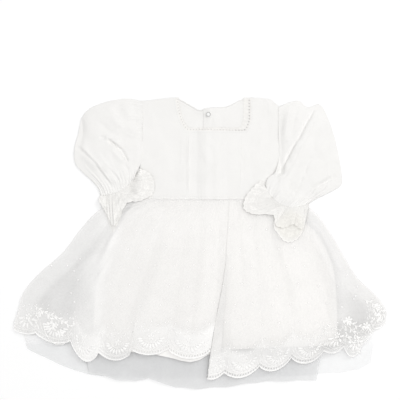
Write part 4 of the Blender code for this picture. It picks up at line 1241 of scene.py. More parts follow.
# %% The front of the bodice
BODICE_CREASES = (
    # both ends, half width, height, lean
    (-17.4, 160, -17.6, 66, 1.6, 0.7, 0.6), (-21, 158, -22, 70, 2.2, -0.5, 0),
    (-29, 152, -28, 112, 1.3, 0.35, 0.4), (-25, 150, -25, 118, 1.2, -0.3, 0),
    (60, 158, 56, 70, 2.4, 0.4, 0.3), (11, 148, 20, 104, 7, -0.9, 0.3), (0, 152, 26, 138, 6, 0.6, 0.2),
    (4, 146, 8, 112, 6, 0.7, -0.3), (26, 140, 32, 96, 9, 0.6, 0.3), (86, 134, 60, 106, 6, 0.5, 0.4),
    (96, 118, 70, 90, 7, -0.5, 0), (-70, 170, -52, 120, 9, 0.5, 0.3), (-76, 130, -50, 96, 8, -0.5, 0),
    (-56, 148, -36, 92, 8, 0.5, -0.3), (92, 180, 84, 140, 8, 0.5, 0.2), (104, 190, 96, 150, 5, -0.4, 0.2),
    (-30, 96, 50, 90, 6, 0.3, 0), (-76, 200, -66, 166, 5, 0.5, 0.3),
)
STRAP_LEFT_COLUMNS, NECK_COLUMNS, STRAP_RIGHT_COLUMNS = 60, 120, 54
HIGH_ROWS, LOW_ROWS = 60, 110


def front_bodice(name, node):
    """The front: two straps beside the neck's opening, over one width of cloth down to the waist."""
    columns = STRAP_LEFT_COLUMNS + NECK_COLUMNS + STRAP_RIGHT_COLUMNS
    mesh, across, down = plan_grid(columns, HIGH_ROWS + LOW_ROWS)
    first, second = STRAP_LEFT_COLUMNS / columns, (STRAP_LEFT_COLUMNS + NECK_COLUMNS) / columns
    turn = HIGH_ROWS / (HIGH_ROWS + LOW_ROWS)
    below = np.maximum(down - turn, 0) / (1 - turn)
    neck = np.moveaxis(read_rows(NECK_SIDES, 1 - np.minimum(down / turn, 1)), -1, 0)
    low_y, high_y = NECK_SIDES[0][2], NECK_SIDES[-1][2]
    y = neck[2] + (WAIST_Y - neck[2]) * below
    left, right = line_at(BODICE_LEFT_EDGE, y), line_at(BODICE_RIGHT_EDGE, y)
    x = np.where(across < first, left + (neck[0] - left) * across / first, neck[0])
    x = np.where(across > first, neck[0] + (neck[1] - neck[0]) * (across - first) / (second - first), x)
    x = np.where(across > second, neck[1] + (right - neck[1]) * (across - second) / (1 - second), x)
    y = y + np.maximum((y - low_y) / (high_y - low_y), 0) * (line_at(FRONT_TOP, x) - high_y)
    inside = [
        face for face in mesh.faces
        if face.calc_center_median().y < turn and first < face.calc_center_median().x < second
    ]
    low, high = wall_heights(node, x, y)
    set_places(mesh, x, y, (low + high) / 2)
    bmesh.ops.delete(mesh, geom=inside, context="FACES_ONLY")
    smooth_heights(mesh, FRONT_SMOOTHING)
    at_waist = waist_gathers(across, 2 * WAIST_Y - y, 70, 31, 0.35, 14)
    lift_heights(mesh, 0.8 * creases(BODICE_CREASES, x, y) + 0.3 * rumple(x, y, 22, 8.0) + at_waist)
    write_uv(mesh, x, y)
    bmesh.ops.delete(mesh, geom=[vert for vert in mesh.verts if not vert.link_faces], context="VERTS")
    return make_object(mesh, name, COTTON, (node,))


front_bodice("front_bodice_cloth", "front_bodice")

# %% [markdown]
# ## The sleeves
#
# A sleeve is a tube that lies flat: its columns run round it, from the inner fold over the top to the outer
# fold and back under. It is gathered into the armhole and into the wrist, and folded in over the dress, so
# most of its creases come from the elbow. Two sheets sewn at their edges would look the same from above, but
# a tube has a rounded fold at its sides, as a real sleeve does.

# %% Sleeve tables
SLEEVE_LEFT = (
    # inner_x, inner_y, outer_x, outer_y, and how far the middle bows out towards the hand
    (-85.4, 148, -85.6, 206, 0), (-85.4, 146, -107, 210, 0), (-85.4, 144, -131, 207, 0),
    (-85.4, 141.5, -150, 201, 0), (-85.4, 139, -163, 194.5, 0), (-85.4, 136, -173, 182, 0),
    (-85.2, 132.5, -178, 160, 0), (-85.2, 128.5, -184, 137, 0), (-85.6, 124, -183, 117, 0),
    (-87, 119, -172, 103, 1), (-88.4, 113, -159, 91, 3), (-91, 106, -150, 80, 6),
    (-94.5, 99.5, -146, 70, 8.5),
)
SLEEVE_RIGHT = (
    (113.2, 148, 113.4, 198, 0), (113.3, 144, 129, 204.5, 0), (113.6, 139, 143, 207, 0),
    (113.8, 134, 156, 197.5, 0), (114, 128, 173, 201.5, 0), (113.2, 121, 185, 182, 0),
    (111.6, 114, 195, 152, 0), (109.6, 107, 201, 125, 1), (106, 101, 205, 100, 3), (100, 97, 204, 84, 6),
    (96, 92, 188, 74, 10), (94.5, 86, 172, 66, 13), (95, 80, 158, 58, 15),
)
SLEEVE_CREASES_LEFT = (
    # both ends, half width, height, lean
    (-182, 142, -150, 115, 2.6, -2.0, 0.5), (-154, 118, -128, 80, 2.6, -2.0, 0.4),
    (-174, 141, -144, 108, 5, 1.7, 0.3), (-178, 128, -146, 88, 7, -1.2, 0.2),
    (-134, 151, -115, 134, 1.9, -4.6, 0.3), (-120, 139, -106, 118, 1.9, -4.2, -0.3),
    (-140, 158, -116, 142, 4.5, 1.9, 0.3), (-129, 139, -112, 116, 3.5, 1.7, 0.3),
    (-123, 203, -98, 166, 10, -1.6, 0.3), (-137, 202, -112, 166, 5, 1.1, 0),
    (-100, 206, -92, 168, 4, -0.8, 0.3), (-147, 156, -138, 151, 2.4, -1.2, 0),
    (-176, 186, -173, 138, 6, -1.7, 0.3), (-160, 190, -164, 150, 8, 0.9, 0),
    (-148, 130, -122, 96, 4, 1.2, 0.4), (-140, 100, -112, 84, 4, 0.8, 0),
    (-112, 128, -98, 104, 5, 0.7, -0.3), (-150, 176, -128, 160, 5, -0.7, 0.3),
    (-134, 112, -118, 88, 2.2, -1.2, 0.3), (-108, 112, -104, 96, 3, -0.8, 0),
)
SLEEVE_CREASES_RIGHT = (
    (166, 195, 140, 148, 2.2, -2.6, 0.5), (142, 152, 110, 94, 2.2, -2.6, 0.5),
    (172, 188, 147, 146, 5, 1.9, 0.3), (149, 148, 120, 96, 5, 1.9, 0.3),
    (160, 124, 149, 98, 2.8, -1.4, 0.3), (150, 100, 134, 66, 2.8, -1.4, 0.3),
    (198, 96, 167, 81, 2.4, -1.9, 0.4), (168, 82, 152, 65, 2.4, -1.9, 0.4),
    (188, 101, 158, 84, 5, 1.2, 0.3), (178, 176, 170, 130, 7, 0.8, -0.3),
    (190, 140, 176, 104, 6, -0.7, 0.3), (128, 200, 122, 158, 4, 0.8, 0.3),
    (142, 200, 130, 160, 4, -0.9, 0.3), (140, 180, 128, 150, 5, -0.6, 0), (172, 120, 158, 92, 5, 0.8, 0),
    (200, 118, 190, 96, 4, -0.8, 0.2), (120, 110, 112, 86, 3, -1.0, 0.3), (130, 92, 124, 70, 3, -1.0, 0),
)


def sleeve_place(table, across, down):
    """Places on a sleeve, across each section from its inner to its outer edge."""
    inner_x, inner_y, outer_x, outer_y, bow = np.moveaxis(read_rows(table, down), -1, 0)
    section_x, section_y = outer_x - inner_x, outer_y - inner_y
    length = np.hypot(section_x, section_y)
    side = -1 if table is SLEEVE_LEFT else 1
    out = bow * 4 * across * (1 - across) * side / length
    return inner_x + section_x * across + section_y * out, inner_y + section_y * across - section_x * out


# %% Lay a tube flat
SEAM_REACH = 8  # how far in mm from an armhole the sleeve is still held down by it
END_SHARE = 0.16  # the share of a tube's length over which an end goes over to its neighbour's height
FILL = 0.92  # how much of its solid's height a tube fills
LAID_GAP, LAID_HEIGHT, LAID_SHARE = 0.5, 1.6, 0.85  # a free end's gap and height, and how far it settles
UNDER_RELIEF = 0.25  # the part of its folds that a tube's hidden underside has


def flat_tube(
    name, node, place, size, relief, smooth, material, edge=0.3, start_node=None, end_node=None,
    seam=None, lies_on=None,
):
    """A tube from a grid whose columns run round it. Place gives x and y from the shares across and down.

    Its two ends go over to the heights of start_node and end_node, so that it meets its neighbours at seams.
    Seam is a line of (y, x) along which it stays at the start node's height, and how low it goes. Lies_on
    names pieces that its free end comes down to. Edge is the share of its width that each fold rounds off.
    """
    mesh, round_it, down = plan_grid(*size)
    angle = 2 * math.pi * round_it
    across = 0.5 - 0.5 * np.cos(angle)
    upper = np.sin(angle) >= 0
    x, y = place(across, down, upper)
    low, high = wall_heights(node, x, y)
    beside = 0 * down
    if seam:
        line, low_y = seam
        beside = ease(1 - np.abs(x - line_at(line, y)) / SEAM_REACH) * ease((y - low_y) / SEAM_REACH + 1)
    starting = np.maximum(ease(1 - down / END_SHARE), beside)
    ending = ease((down - (1 - END_SHARE)) / END_SHARE)
    for neighbour, meet in ((start_node, starting), (end_node, ending)):
        if neighbour:
            next_low, next_high = wall_heights(neighbour, x, y)
            low, high = low + (next_low - low) * meet, high + (next_high - high) * meet
    if lies_on:
        ground = cloth_heights(lies_on, x, y) + LAID_GAP
        settled = LAID_SHARE * ease((down - 0.25) / 0.6)
        low, high = low + (ground - low) * settled, high + (ground + LAID_HEIGHT - high) * settled
    swell = np.sqrt(1 - (1 - np.clip(np.abs(np.sin(angle)) / edge, 0, 1)) ** 2)
    z = (low + high) / 2 + (high - low) / 2 * FILL * swell * np.where(upper, 1, -1)
    set_places(mesh, x, y, z)
    write_uv(mesh, *tube_lengths(x, y, round_it, down))
    bmesh.ops.remove_doubles(mesh, verts=mesh.verts, dist=0.00001)  # joins the first and last columns
    smooth_heights(mesh, smooth)
    mesh.verts.ensure_lookup_table()
    plan = np.array([vert.co[:2] for vert in mesh.verts]) / MM - (SHIFT_X, SHIFT_Y)
    keys = {(round(px, 2), round(py, 2), bool(top)): k for k, (px, py, top) in enumerate(zip(x, y, upper))}
    middle = {(round(px, 2), round(py, 2)): (a + b) / 2 for px, py, a, b in zip(x, y, low, high)}
    lift = relief(x, y, across, down)
    for vert, (px, py) in zip(mesh.verts, plan):
        spot = (round(px, 2), round(py, 2))
        top = vert.co.z / MM >= middle.get(spot, 0)
        found = keys.get((*spot, top), keys.get((*spot, not top)))
        if found is not None:
            weight = swell[found] if top else UNDER_RELIEF * swell[found]
            vert.co.z += lift[found] * weight * MM * (1 if top else -1)
            if top and lift[found] < 0:
                vert.co.z = max(vert.co.z, (middle.get(spot, 0) + 0.25 * swell[found]) * MM)
    return make_object(mesh, name, material, (node,), faces_up=False)


def tube_lengths(x, y, round_it, down):
    """The lengths in mm round a tube and along it, from its grid's places."""
    columns = len(np.unique(np.round(round_it, 6)))
    rows = len(np.unique(np.round(down, 6)))
    order = np.lexsort((round_it, down))
    grid_x, grid_y = x[order].reshape(rows, columns), y[order].reshape(rows, columns)
    step_x = np.diff(grid_x, axis=1, prepend=grid_x[:, :1])
    step_y = np.diff(grid_y, axis=1, prepend=grid_y[:, :1])
    across = np.cumsum(np.hypot(step_x, step_y), axis=1)
    step_x, step_y = np.diff(grid_x, axis=0, prepend=grid_x[:1]), np.diff(grid_y, axis=0, prepend=grid_y[:1])
    along = np.cumsum(np.hypot(step_x, step_y), axis=0)
    u, v = np.zeros(len(x)), np.zeros(len(x))
    u[order] = np.mean(across, axis=0)[None, :].repeat(rows, 0).ravel()
    v[order] = (along[-1] - along).ravel()
    return u, v


# %% The two sleeves
SLEEVE_GATHERS, SLEEVE_GRID, SLEEVE_SMOOTHING = 17, (240, 130), 18


def sleeve(name, node, table, crease_table, seed, cuff_node, seam):
    """One sleeve, gathered at the shoulder and, more deeply, at the wrist."""

    def relief(x, y, across, down):
        shoulder = 0.45 * gathered(across, down, gather_line(SLEEVE_GATHERS, seed), 0.3)
        wrist = gathered(across, 1 - down, gather_line(SLEEVE_GATHERS, seed + 1), 0.26)
        wrist = (1.0 + 1.2 * across) * wrist
        return creases(crease_table, x, y) + 0.5 * rumple(x, y, 20, seed) + shoulder + wrist

    return flat_tube(
        name, node, lambda across, down, upper: sleeve_place(table, across, down), SLEEVE_GRID, relief,
        SLEEVE_SMOOTHING, COTTON, start_node="front_bodice", end_node=cuff_node, seam=seam,
    )


sleeve(
    "sleeve_cloth_left", "sleeve_left", SLEEVE_LEFT, SLEEVE_CREASES_LEFT, 41, "cuff_lace_left",
    (BODICE_LEFT_EDGE, 108),
)
sleeve(
    "sleeve_cloth_right", "sleeve_right", SLEEVE_RIGHT, SLEEVE_CREASES_RIGHT, 51, "cuff_lace_right",
    (BODICE_RIGHT_EDGE, 104),
)

# %% [markdown]
# ## The lace at the wrists
#
# A strip of cotton lace is gathered round each wrist and pressed flat, so it fans out from the sleeve. Its
# pattern is worked in the material, on the UV map: a net ground, a row of flowers, and a filled edge with a
# row of eyelets. Holes a millimetre or two wide would need hundreds of thousands of faces in the mesh. Only
# its free edge is scalloped there, because that shows in the outline.


# %% Lace
# the pattern's sizes in metres, along the strip and above its free edge
LACE_PITCH, LACE_FLOWER_HEIGHT, LACE_CELL = 0.011, 0.0115, 0.0012
LACE_PETAL, LACE_WAIST, LACE_CENTRE = 0.0026, 0.0022, (0.0007, 0.0012)
LACE_EYELET_PITCH, LACE_EYELET_HEIGHT, LACE_EYELET_HALF = 0.0036, 0.0032, (0.0006, 0.0014)
LACE_EDGE, LACE_BAR_HEIGHT, LACE_BAR_HALF = (0.0045, 0.0056), 0.0185, (0.0005, 0.0011)
LACE_GROUND_COVER = 0.86
# painted shade: round the right cuff's mouth the lace is coloured darker and warmer, for its shaded inside
# where two layers lie on each other
MOUTH_SHADE_REACH = (0.014, 0.026)
MOUTH_SHADE_AT = (0.131, 0.026, 0.012)  # the right cuff's mouth, where two layers lie on each other
MOUTH_SHADE_TONE = (0.955, 0.95, 0.93)  # they look a little darker and warmer


def lace(name, colour):
    """Cotton lace: flowers of six petals on a net ground, a filled edge with eyelets, and painted shade round
    the right cuff's mouth.
    """
    made, nodes, links, shader = new_material(name, colour, 0.8)
    shader.inputs["Sheen Weight"].default_value = 0.2
    place = object_place(nodes)
    uv, along, above = cloth_place(nodes, links)
    cell = calculate(nodes, links, "FRACT", calculate(nodes, links, "DIVIDE", along, LACE_PITCH))
    local_x = calculate(nodes, links, "MULTIPLY", calculate(nodes, links, "SUBTRACT", cell, 0.5), LACE_PITCH)
    local_y = calculate(nodes, links, "SUBTRACT", above, LACE_FLOWER_HEIGHT)
    radius = calculate(nodes, links, "SQRT", calculate(
        nodes, links, "ADD", calculate(nodes, links, "MULTIPLY", local_x, local_x),
        calculate(nodes, links, "MULTIPLY", local_y, local_y),
    ))
    angle = calculate(nodes, links, "ARCTAN2", local_y, local_x)
    petal = calculate(nodes, links, "COSINE", calculate(nodes, links, "MULTIPLY", angle, 3.0))
    petal = calculate(nodes, links, "ABSOLUTE", petal)
    reach = calculate(nodes, links, "MULTIPLY_ADD", petal, LACE_PETAL, LACE_WAIST)
    inside = between(nodes, links, calculate(nodes, links, "SUBTRACT", reach, radius), -0.0002, 0.0003)
    centre = between(nodes, links, radius, *LACE_CENTRE)
    flower = calculate(nodes, links, "MULTIPLY", inside, centre)
    dots = between(nodes, links, beads(nodes, links, along, LACE_EYELET_PITCH), 0.35, 0.7)
    row = away_from(nodes, links, above, LACE_EYELET_HEIGHT)
    row = between(nodes, links, row, *LACE_EYELET_HALF, 1.0, 0.0)
    eyelets = calculate(nodes, links, "MULTIPLY", dots, row)
    edge = between(nodes, links, above, *LACE_EDGE, 1.0, 0.0)
    bars = away_from(nodes, links, above, LACE_BAR_HEIGHT)
    bars = between(nodes, links, bars, *LACE_BAR_HALF, 1.0, 0.0)
    solid = calculate(nodes, links, "MAXIMUM", flower, calculate(nodes, links, "MAXIMUM", edge, bars))
    solid = calculate(nodes, links, "MULTIPLY", solid, calculate(nodes, links, "SUBTRACT", 1.0, eyelets))
    ground = cell_edges(nodes, links, uv, LACE_CELL)
    ground = between(nodes, links, ground, 0.05, 0.2, 1.0, LACE_GROUND_COVER)
    alpha = calculate(nodes, links, "MAXIMUM", solid, ground, clamp=True)
    links.new(alpha, shader.inputs["Alpha"])
    raise_bumps(nodes, links, shader, alpha, 0.8, 0.0004)
    shade_colour(nodes, links, shader, place, colour, tuple(part * 0.97 for part in colour), 0.008)
    # painted shade in the right cuff's mouth, fading out round one spot
    away = distance_to(nodes, links, place, MOUTH_SHADE_AT)
    share = between(nodes, links, away, *MOUTH_SHADE_REACH, 1.0, 0.0)
    tint(nodes, links, shader, share, tuple(part * tone for part, tone in zip(colour, MOUTH_SHADE_TONE)))
    return made


LACE = lace("cotton_lace", (0.905, 0.893, 0.87))

# %% The two cuffs
CUFF_EDGE_LEFT = (
    (-89, 109), (-74, 102), (-67, 87), (-70, 71), (-88, 61), (-108, 56), (-121, 26), (-128, 15), (-138, 41),
    (-149, 62),
)
CUFF_EDGE_RIGHT = (
    (88, 92), (75, 81), (64, 66), (62, 50), (76, 42), (104, 40), (106, 22), (119, 4), (133, 2), (146, 14),
    (154, 40),
)
CUFF_SCALLOPS, CUFF_SCALLOP_DEPTH = 22, 1.6
CUFF_GRID, CUFF_SMOOTHING, CUFF_FOLD = (300, 36), 6, 0.2
CUFF_WAVES, CUFF_GATHERS = 15, 34
CUFF_MOUTH = 0.13  # half the width of a cuff's mouth, as a share of its edge
CUFF_SEWN = 0.6  # mm from the sleeve's end line to the lace's sewn edge


def cuff(name, node, table, free_edge, seed, opening):
    """The lace round one wrist. Opening is where its mouth shows and how far its upper side is back."""

    def place(across, down, upper):
        wrist_x, wrist_y = sleeve_place(table, across, np.ones(len(across)))
        edge = read_rows(free_edge, across)
        away_x, away_y = edge[:, 0] - wrist_x, edge[:, 1] - wrist_y
        length = np.hypot(away_x, away_y)
        notches = 1 - np.abs(np.sin(math.pi * across * CUFF_SCALLOPS))
        scallop = 1 - CUFF_SCALLOP_DEPTH * notches / length
        mouth = opening[1] * np.exp(-(((across - opening[0]) / CUFF_MOUTH) ** 2))
        scallop = np.where(upper, scallop - mouth, scallop)
        share = CUFF_SEWN / length + (scallop - CUFF_SEWN / length) * down
        return wrist_x + away_x * share, wrist_y + away_y * share

    def relief(x, y, across, down):
        waves = 1.5 * gathered(across, 0 * across, gather_line(CUFF_WAVES, seed), 1.0)
        waves *= ease(down * 1.4 + 0.25)
        small = 0.6 * gathered(across, down, gather_line(CUFF_GATHERS, seed + 1), 0.5)
        return waves + small + 0.35 * rumple(x, y, 9, seed)

    return flat_tube(
        name, node, place, CUFF_GRID, relief, CUFF_SMOOTHING, LACE, edge=CUFF_FOLD,
        lies_on=["front_bodice_cloth", "outer_net_front", "outer_net_back"],
    )


cuff("cuff_lace_left_strip", "cuff_lace_left", SLEEVE_LEFT, CUFF_EDGE_LEFT, 61, (0.8, 0.2))
cuff("cuff_lace_right_strip", "cuff_lace_right", SLEEVE_RIGHT, CUFF_EDGE_RIGHT, 71, (0.76, 0.5))

# %% [markdown]
# ## The lace at the neck
#
# A narrow cotton lace is sewn along the square neck and has one row of worked holes near the seam. It is a
# strip of grid between its sewn edge and its free edge, which carries picots. Its sewn edge lies under the
# front and its free edge on the back, so its heights come from those two sheets.

# %% A strip of eyelet lace
NECK_SEWN_EDGE = (
    (-37.6, 211.3), (-35.6, 195), (-30.6, 178), (-24.5, 166.4), (-20, 162.3), (66, 162.3), (69.5, 166.4),
    (73.6, 178), (73.6, 195), (73.6, 211.3),
)
NECK_FREE_EDGE = (
    (-31.7, 211.8), (-29.7, 195.3), (-24.7, 178.3), (-18.7, 170.3), (-14.7, 168.3), (54.7, 168.3),
    (57.7, 170.3), (61.7, 178.3), (61.7, 195.3), (61.7, 211.8),
)
NECK_HOLE_PITCH, NECK_HOLE_RADIUS, NECK_HOLE_LINE = 0.0046, 0.0010, 0.0031


NECK_RIB = 0.0008  # the worked ribs across the strip, in metres
NECK_PRESSED = 0.68  # how far the holes are closed at the right, where the strip is pressed against the back
NECK_PRESSED_FROM = (0.045, 0.06)


def eyelet_lace(name, colour):
    """Dense cotton lace with ribs across it and one row of round holes, each with a raised ring."""
    made, nodes, links, shader = new_material(name, colour, 0.8)
    shader.inputs["Sheen Weight"].default_value = 0.2
    uv, along, above = cloth_place(nodes, links)
    turn = calculate(nodes, links, "DIVIDE", along, NECK_HOLE_PITCH)
    turn = calculate(nodes, links, "SUBTRACT", calculate(nodes, links, "FRACT", turn), 0.5)
    away_x = calculate(nodes, links, "MULTIPLY", turn, NECK_HOLE_PITCH)
    away_y = calculate(nodes, links, "SUBTRACT", above, NECK_HOLE_LINE)
    radius = calculate(nodes, links, "SQRT", calculate(
        nodes, links, "MULTIPLY_ADD", away_x, away_x, calculate(nodes, links, "MULTIPLY", away_y, away_y),
    ))
    open_hole = between(nodes, links, radius, NECK_HOLE_RADIUS * 0.85, NECK_HOLE_RADIUS * 1.1, 0.1, 1.0)
    ring = between(nodes, links, radius, NECK_HOLE_RADIUS * 1.1, NECK_HOLE_RADIUS * 1.9, 1.0, 0.0)
    plan_x, _ = plan_place(nodes, links)
    pressed = between(nodes, links, plan_x, *NECK_PRESSED_FROM, NECK_PRESSED, 0.0)
    links.new(calculate(nodes, links, "ADD", open_hole, pressed, clamp=True), shader.inputs["Alpha"])
    ribs = add_node(nodes, "ShaderNodeTexWave", bands_direction="X")
    links.new(uv, ribs.inputs["Vector"])
    ribs.inputs["Scale"].default_value = math.pi / (10 * NECK_RIB)
    height = calculate(nodes, links, "MULTIPLY_ADD", ribs.outputs["Fac"], 0.5, ring)
    raise_bumps(nodes, links, shader, height, 0.7, 0.0003)
    dark = tuple(part * 0.97 for part in colour)
    shade_colour(nodes, links, shader, object_place(nodes), colour, dark, 0.006)
    return made


NECK_LACE = eyelet_lace("neck_lace_cotton", (0.90, 0.885, 0.86))


def along_line(line, share):
    """Places on a line of points at shares of its length."""
    line = np.asarray(line, float)
    run = np.concatenate([[0], np.cumsum(np.hypot(*np.diff(line, axis=0).T))])
    return np.interp(share * run[-1], run, line[:, 0]), np.interp(share * run[-1], run, line[:, 1]), run[-1]


NECK_PICOTS, NECK_PICOT_DEPTH = 90, 0.7
NECK_GRID, NECK_SMOOTHING = (330, 12), 8
ABOVE_BACK, BELOW_FRONT = 0.3, 0.25  # mm between the strip and the sheets that it goes from and to


def neck_strip(name, node):
    """The strip: from under the front's edge down to the back's cloth, with picots and a thicker rim."""
    mesh, along, out = plan_grid(*NECK_GRID)
    sewn_x, sewn_y, length = along_line(NECK_SEWN_EDGE, along)
    free_x, free_y, _ = along_line(NECK_FREE_EDGE, along)
    width = np.hypot(free_x - sewn_x, free_y - sewn_y)
    notches = 1 - np.abs(np.sin(along * math.pi * NECK_PICOTS))
    share = out * (1 - NECK_PICOT_DEPTH * notches / width * out)
    x, y = sewn_x + (free_x - sewn_x) * share, sewn_y + (free_y - sewn_y) * share
    back = cloth_heights(["back_cloth_left", "back_cloth_right"], x, y) + ABOVE_BACK
    front = cloth_heights(["front_bodice_cloth"], x, y) - BELOW_FRONT
    set_places(mesh, x, y, front + (np.minimum(back, front) - front) * ease(share * 1.2))
    smooth_heights(mesh, NECK_SMOOTHING)
    rim = 0.2 * ease((share - 0.82) / 0.1)
    lift_heights(mesh, 0.2 * rumple(x, y, 12, 12.0) + rim + 0.15 * np.sin(along * math.pi * 60) * out)
    write_uv(mesh, along * length, share * width)
    return make_object(mesh, name, NECK_LACE, (node,))


neck_strip("neck_lace_strip", "neck_lace")

# %% [markdown]
# ## The press stud
#
# The back closes with a clear plastic press stud, of which this is one half. Anything round about an axis is
# quickest to turn from a profile, as on a lathe: a knob in the middle, a groove round it and a raised rim.

# %% Turn the press stud
STUD_PROFILE = (
    # radius and height in mm
    (0.0, 0.9), (0.7, 0.9), (0.95, 1.2), (1.35, 1.3), (1.7, 1.05), (1.85, 0.15), (2.5, 0.1), (2.7, 1.0),
    (3.1, 1.2), (3.6, 0.9), (3.8, 0.0),
)
STUD_STEPS, STUD_MIDDLE_Z = 40, 0.0008
# painted shade: the clear rim is coloured dark grey for the shade it shows, between these distances from the
# middle
STUD_WHITE, STUD_RIM_SHADE = (0.92, 0.92, 0.915), (0.52, 0.52, 0.51)
STUD_SHADE_INNER, STUD_SHADE_OUTER = (0.0023, 0.0027), (0.0033, 0.0037)  # the rim looks darker between these


def press_stud(name, node):
    """Turns the profile into a closed solid at its node's place. Its clear rim is coloured darker, as painted
    shade.
    """
    low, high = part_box(node)
    middle = (low + high) / 2
    mesh = bmesh.new()
    points = [mesh.verts.new((radius * MM, 0, height * MM)) for radius, height in STUD_PROFILE]
    points.append(mesh.verts.new((0, 0, 0)))
    edges = [mesh.edges.new(pair) for pair in zip(points[:-1], points[1:])]
    bmesh.ops.spin(
        mesh, geom=[*points, *edges], cent=(0, 0, 0), axis=(0, 0, 1), angle=2 * math.pi, steps=STUD_STEPS,
        use_merge=True,
    )
    bmesh.ops.remove_doubles(mesh, verts=mesh.verts, dist=0.00001)
    bmesh.ops.recalc_face_normals(mesh, faces=mesh.faces)
    bmesh.ops.translate(mesh, verts=mesh.verts, vec=(middle.x, middle.y, low.z))
    made, nodes, links, shader = new_material("clear_plastic", STUD_WHITE, 0.4)
    shader.inputs["Specular IOR Level"].default_value = 0.5
    place = object_place(nodes)
    haze = clouds(nodes, links, place, 700.0, 3.0)
    links.new(between(nodes, links, haze, 0.3, 0.7, 0.3, 0.5), shader.inputs["Roughness"])
    away = distance_to(nodes, links, place, (middle.x, middle.y, low.z + STUD_MIDDLE_Z))
    # painted shade on the clear rim
    ring = calculate(
        nodes, links, "MULTIPLY", between(nodes, links, away, *STUD_SHADE_INNER),
        between(nodes, links, away, *STUD_SHADE_OUTER, 1.0, 0.0),
    )
    shade_colour(nodes, links, shader, place, STUD_WHITE, tuple(part * 0.96 for part in STUD_WHITE), 0.002)
    tint(nodes, links, shader, ring, STUD_RIM_SHADE)
    return make_object(mesh, name, made, (node,), faces_up=False)


press_stud("press_stud", "snap")

# %% [markdown]
# ## Seams and stitches
#
# Where two pieces meet, the seam allowances inside make a soft roll, so each armhole, wrist and the waist
# get a rounded seam between their two pieces. The back neck has a narrow binding. Each is a bevelled curve,
# turned into a mesh. Rows of small stitches run beside the seams and above the lining's hem: each stitch is
# one flattened bead of thread.


# %% Rolled seams
SEAM_CLIMB = 1.2  # a seam stays within this height in mm of the lower of its two pieces


def seam_roll(points, near, far, offset, radius, sink):
    """A seam's line in mm and its radius. Its height is between the pieces near and far, offset to its sides.

    Sink is how deep its middle lies below them, so that only its rounded top stands out.
    """
    x, y, _ = along_line(points, np.linspace(0, 1, 60))
    heading_x, heading_y = np.gradient(x), np.gradient(y)
    size = np.hypot(heading_x, heading_y)
    side_x, side_y = -heading_y / size * offset, heading_x / size * offset
    first = cloth_heights(near, x + side_x, y + side_y)
    second = cloth_heights(far, x - side_x, y - side_y)
    height = np.minimum((first + second) / 2, np.minimum(first, second) + SEAM_CLIMB) - sink
    return np.column_stack([x, y, height]), radius


ARMHOLE_LEFT = ((-86.2, 205), (-86.4, 180), (-86.6, 160), (-87, 145), (-87.5, 140))
ARMHOLE_RIGHT = ((114.2, 197), (114.4, 180), (114.6, 160), (115.2, 144), (116, 139))
WRIST_SHARES = np.linspace(0.02, 0.98, 24)
wrist_lines = [
    np.column_stack(sleeve_place(table, WRIST_SHARES, np.ones(24))) for table in (SLEEVE_LEFT, SLEEVE_RIGHT)
]
WAIST = ((-92, 64), (-40, 64), (10, 64), (60, 64), (118, 64))
NECK_BINDING = (
    (-37, 210.5), (-33, 209.5), (-25, 205.5), (-15, 199.5), (-9, 196), (-5, 193.6), (1, 192.6), (4, 194),
)
NECK_BINDING_RIGHT = ((4, 195), (21, 196.5), (36, 197.5), (46, 201.5), (54, 206), (66, 210.3))
seams = bmesh.new()
add_cords(seams, [
    seam_roll(ARMHOLE_LEFT, ["sleeve_cloth_left"], ["front_bodice_cloth"], -2.2, 1.25, 0.9),
    seam_roll(ARMHOLE_RIGHT, ["sleeve_cloth_right"], ["front_bodice_cloth"], 2.2, 1.25, 0.9),
    seam_roll(wrist_lines[0], ["sleeve_cloth_left"], ["cuff_lace_left_strip"], 1.5, 0.9, 0.6),
    seam_roll(wrist_lines[1], ["sleeve_cloth_right"], ["cuff_lace_right_strip"], 1.5, 0.9, 0.6),
    seam_roll(WAIST, ["front_bodice_cloth"], ["outer_net_front"], 2.2, 1.2, 0.85),
    seam_roll(NECK_BINDING, ["back_cloth_right", "back_cloth_left"], ["back_cloth_right"], 0.3, 0.75, 0.1),
    seam_roll(
        NECK_BINDING_RIGHT, ["back_cloth_left", "back_cloth_right"], ["back_cloth_left"], 0.3, 0.75, 0.1,
    ),
])
for vert in seams.verts:
    vert.co = Vector((vert.co.x + SHIFT_X, vert.co.y + SHIFT_Y, vert.co.z)) * MM
make_object(seams, "seam_rolls", COTTON, (), faces_up=False)


# %% Rows of stitches
HEM_STITCH_LINE = 14  # mm above the lining's hem


def stitch_row(mesh, points, pitch=3.0, length=2.0):
    """Stitches of a length in mm, one to each pitch along a line of points."""
    run = along_line(points, 0)[2]
    x, y, _ = along_line(points, np.arange(pitch / 2, run, pitch) / run)
    for k in range(len(x) - 1):
        turn = math.atan2(y[k + 1] - y[k], x[k + 1] - x[k])
        add_petal(mesh, x[k], y[k], length, 0.5, turn, thick=0.22)


NECK_STITCHES = (
    (-39, 209), (-37, 195), (-32, 177), (-26, 166), (-21, 160.6), (67, 160.6), (71, 166), (75, 178),
    (75, 209),
)
stitches = bmesh.new()
stitch_row(stitches, ((-84, 204), (-84.2, 180), (-84.5, 145)))
stitch_row(stitches, ((112, 196), (112.2, 180), (112.6, 142)))
stitch_row(stitches, ((-88, 67.5), (116, 67.5)))
stitch_row(stitches, NECK_STITCHES)
stitch_row(stitches, ((-29, 152), (-28.4, 112)), pitch=4.2, length=2.6)
stitch_row(stitches, ((-17.4, 158), (-17.6, 70)), pitch=3.4)
stitch_row(stitches, ((60, 156), (57, 72)), pitch=3.4)
lay_on_cloth(stitches, "bodice_stitches", SEWING, ["front_bodice_cloth"])

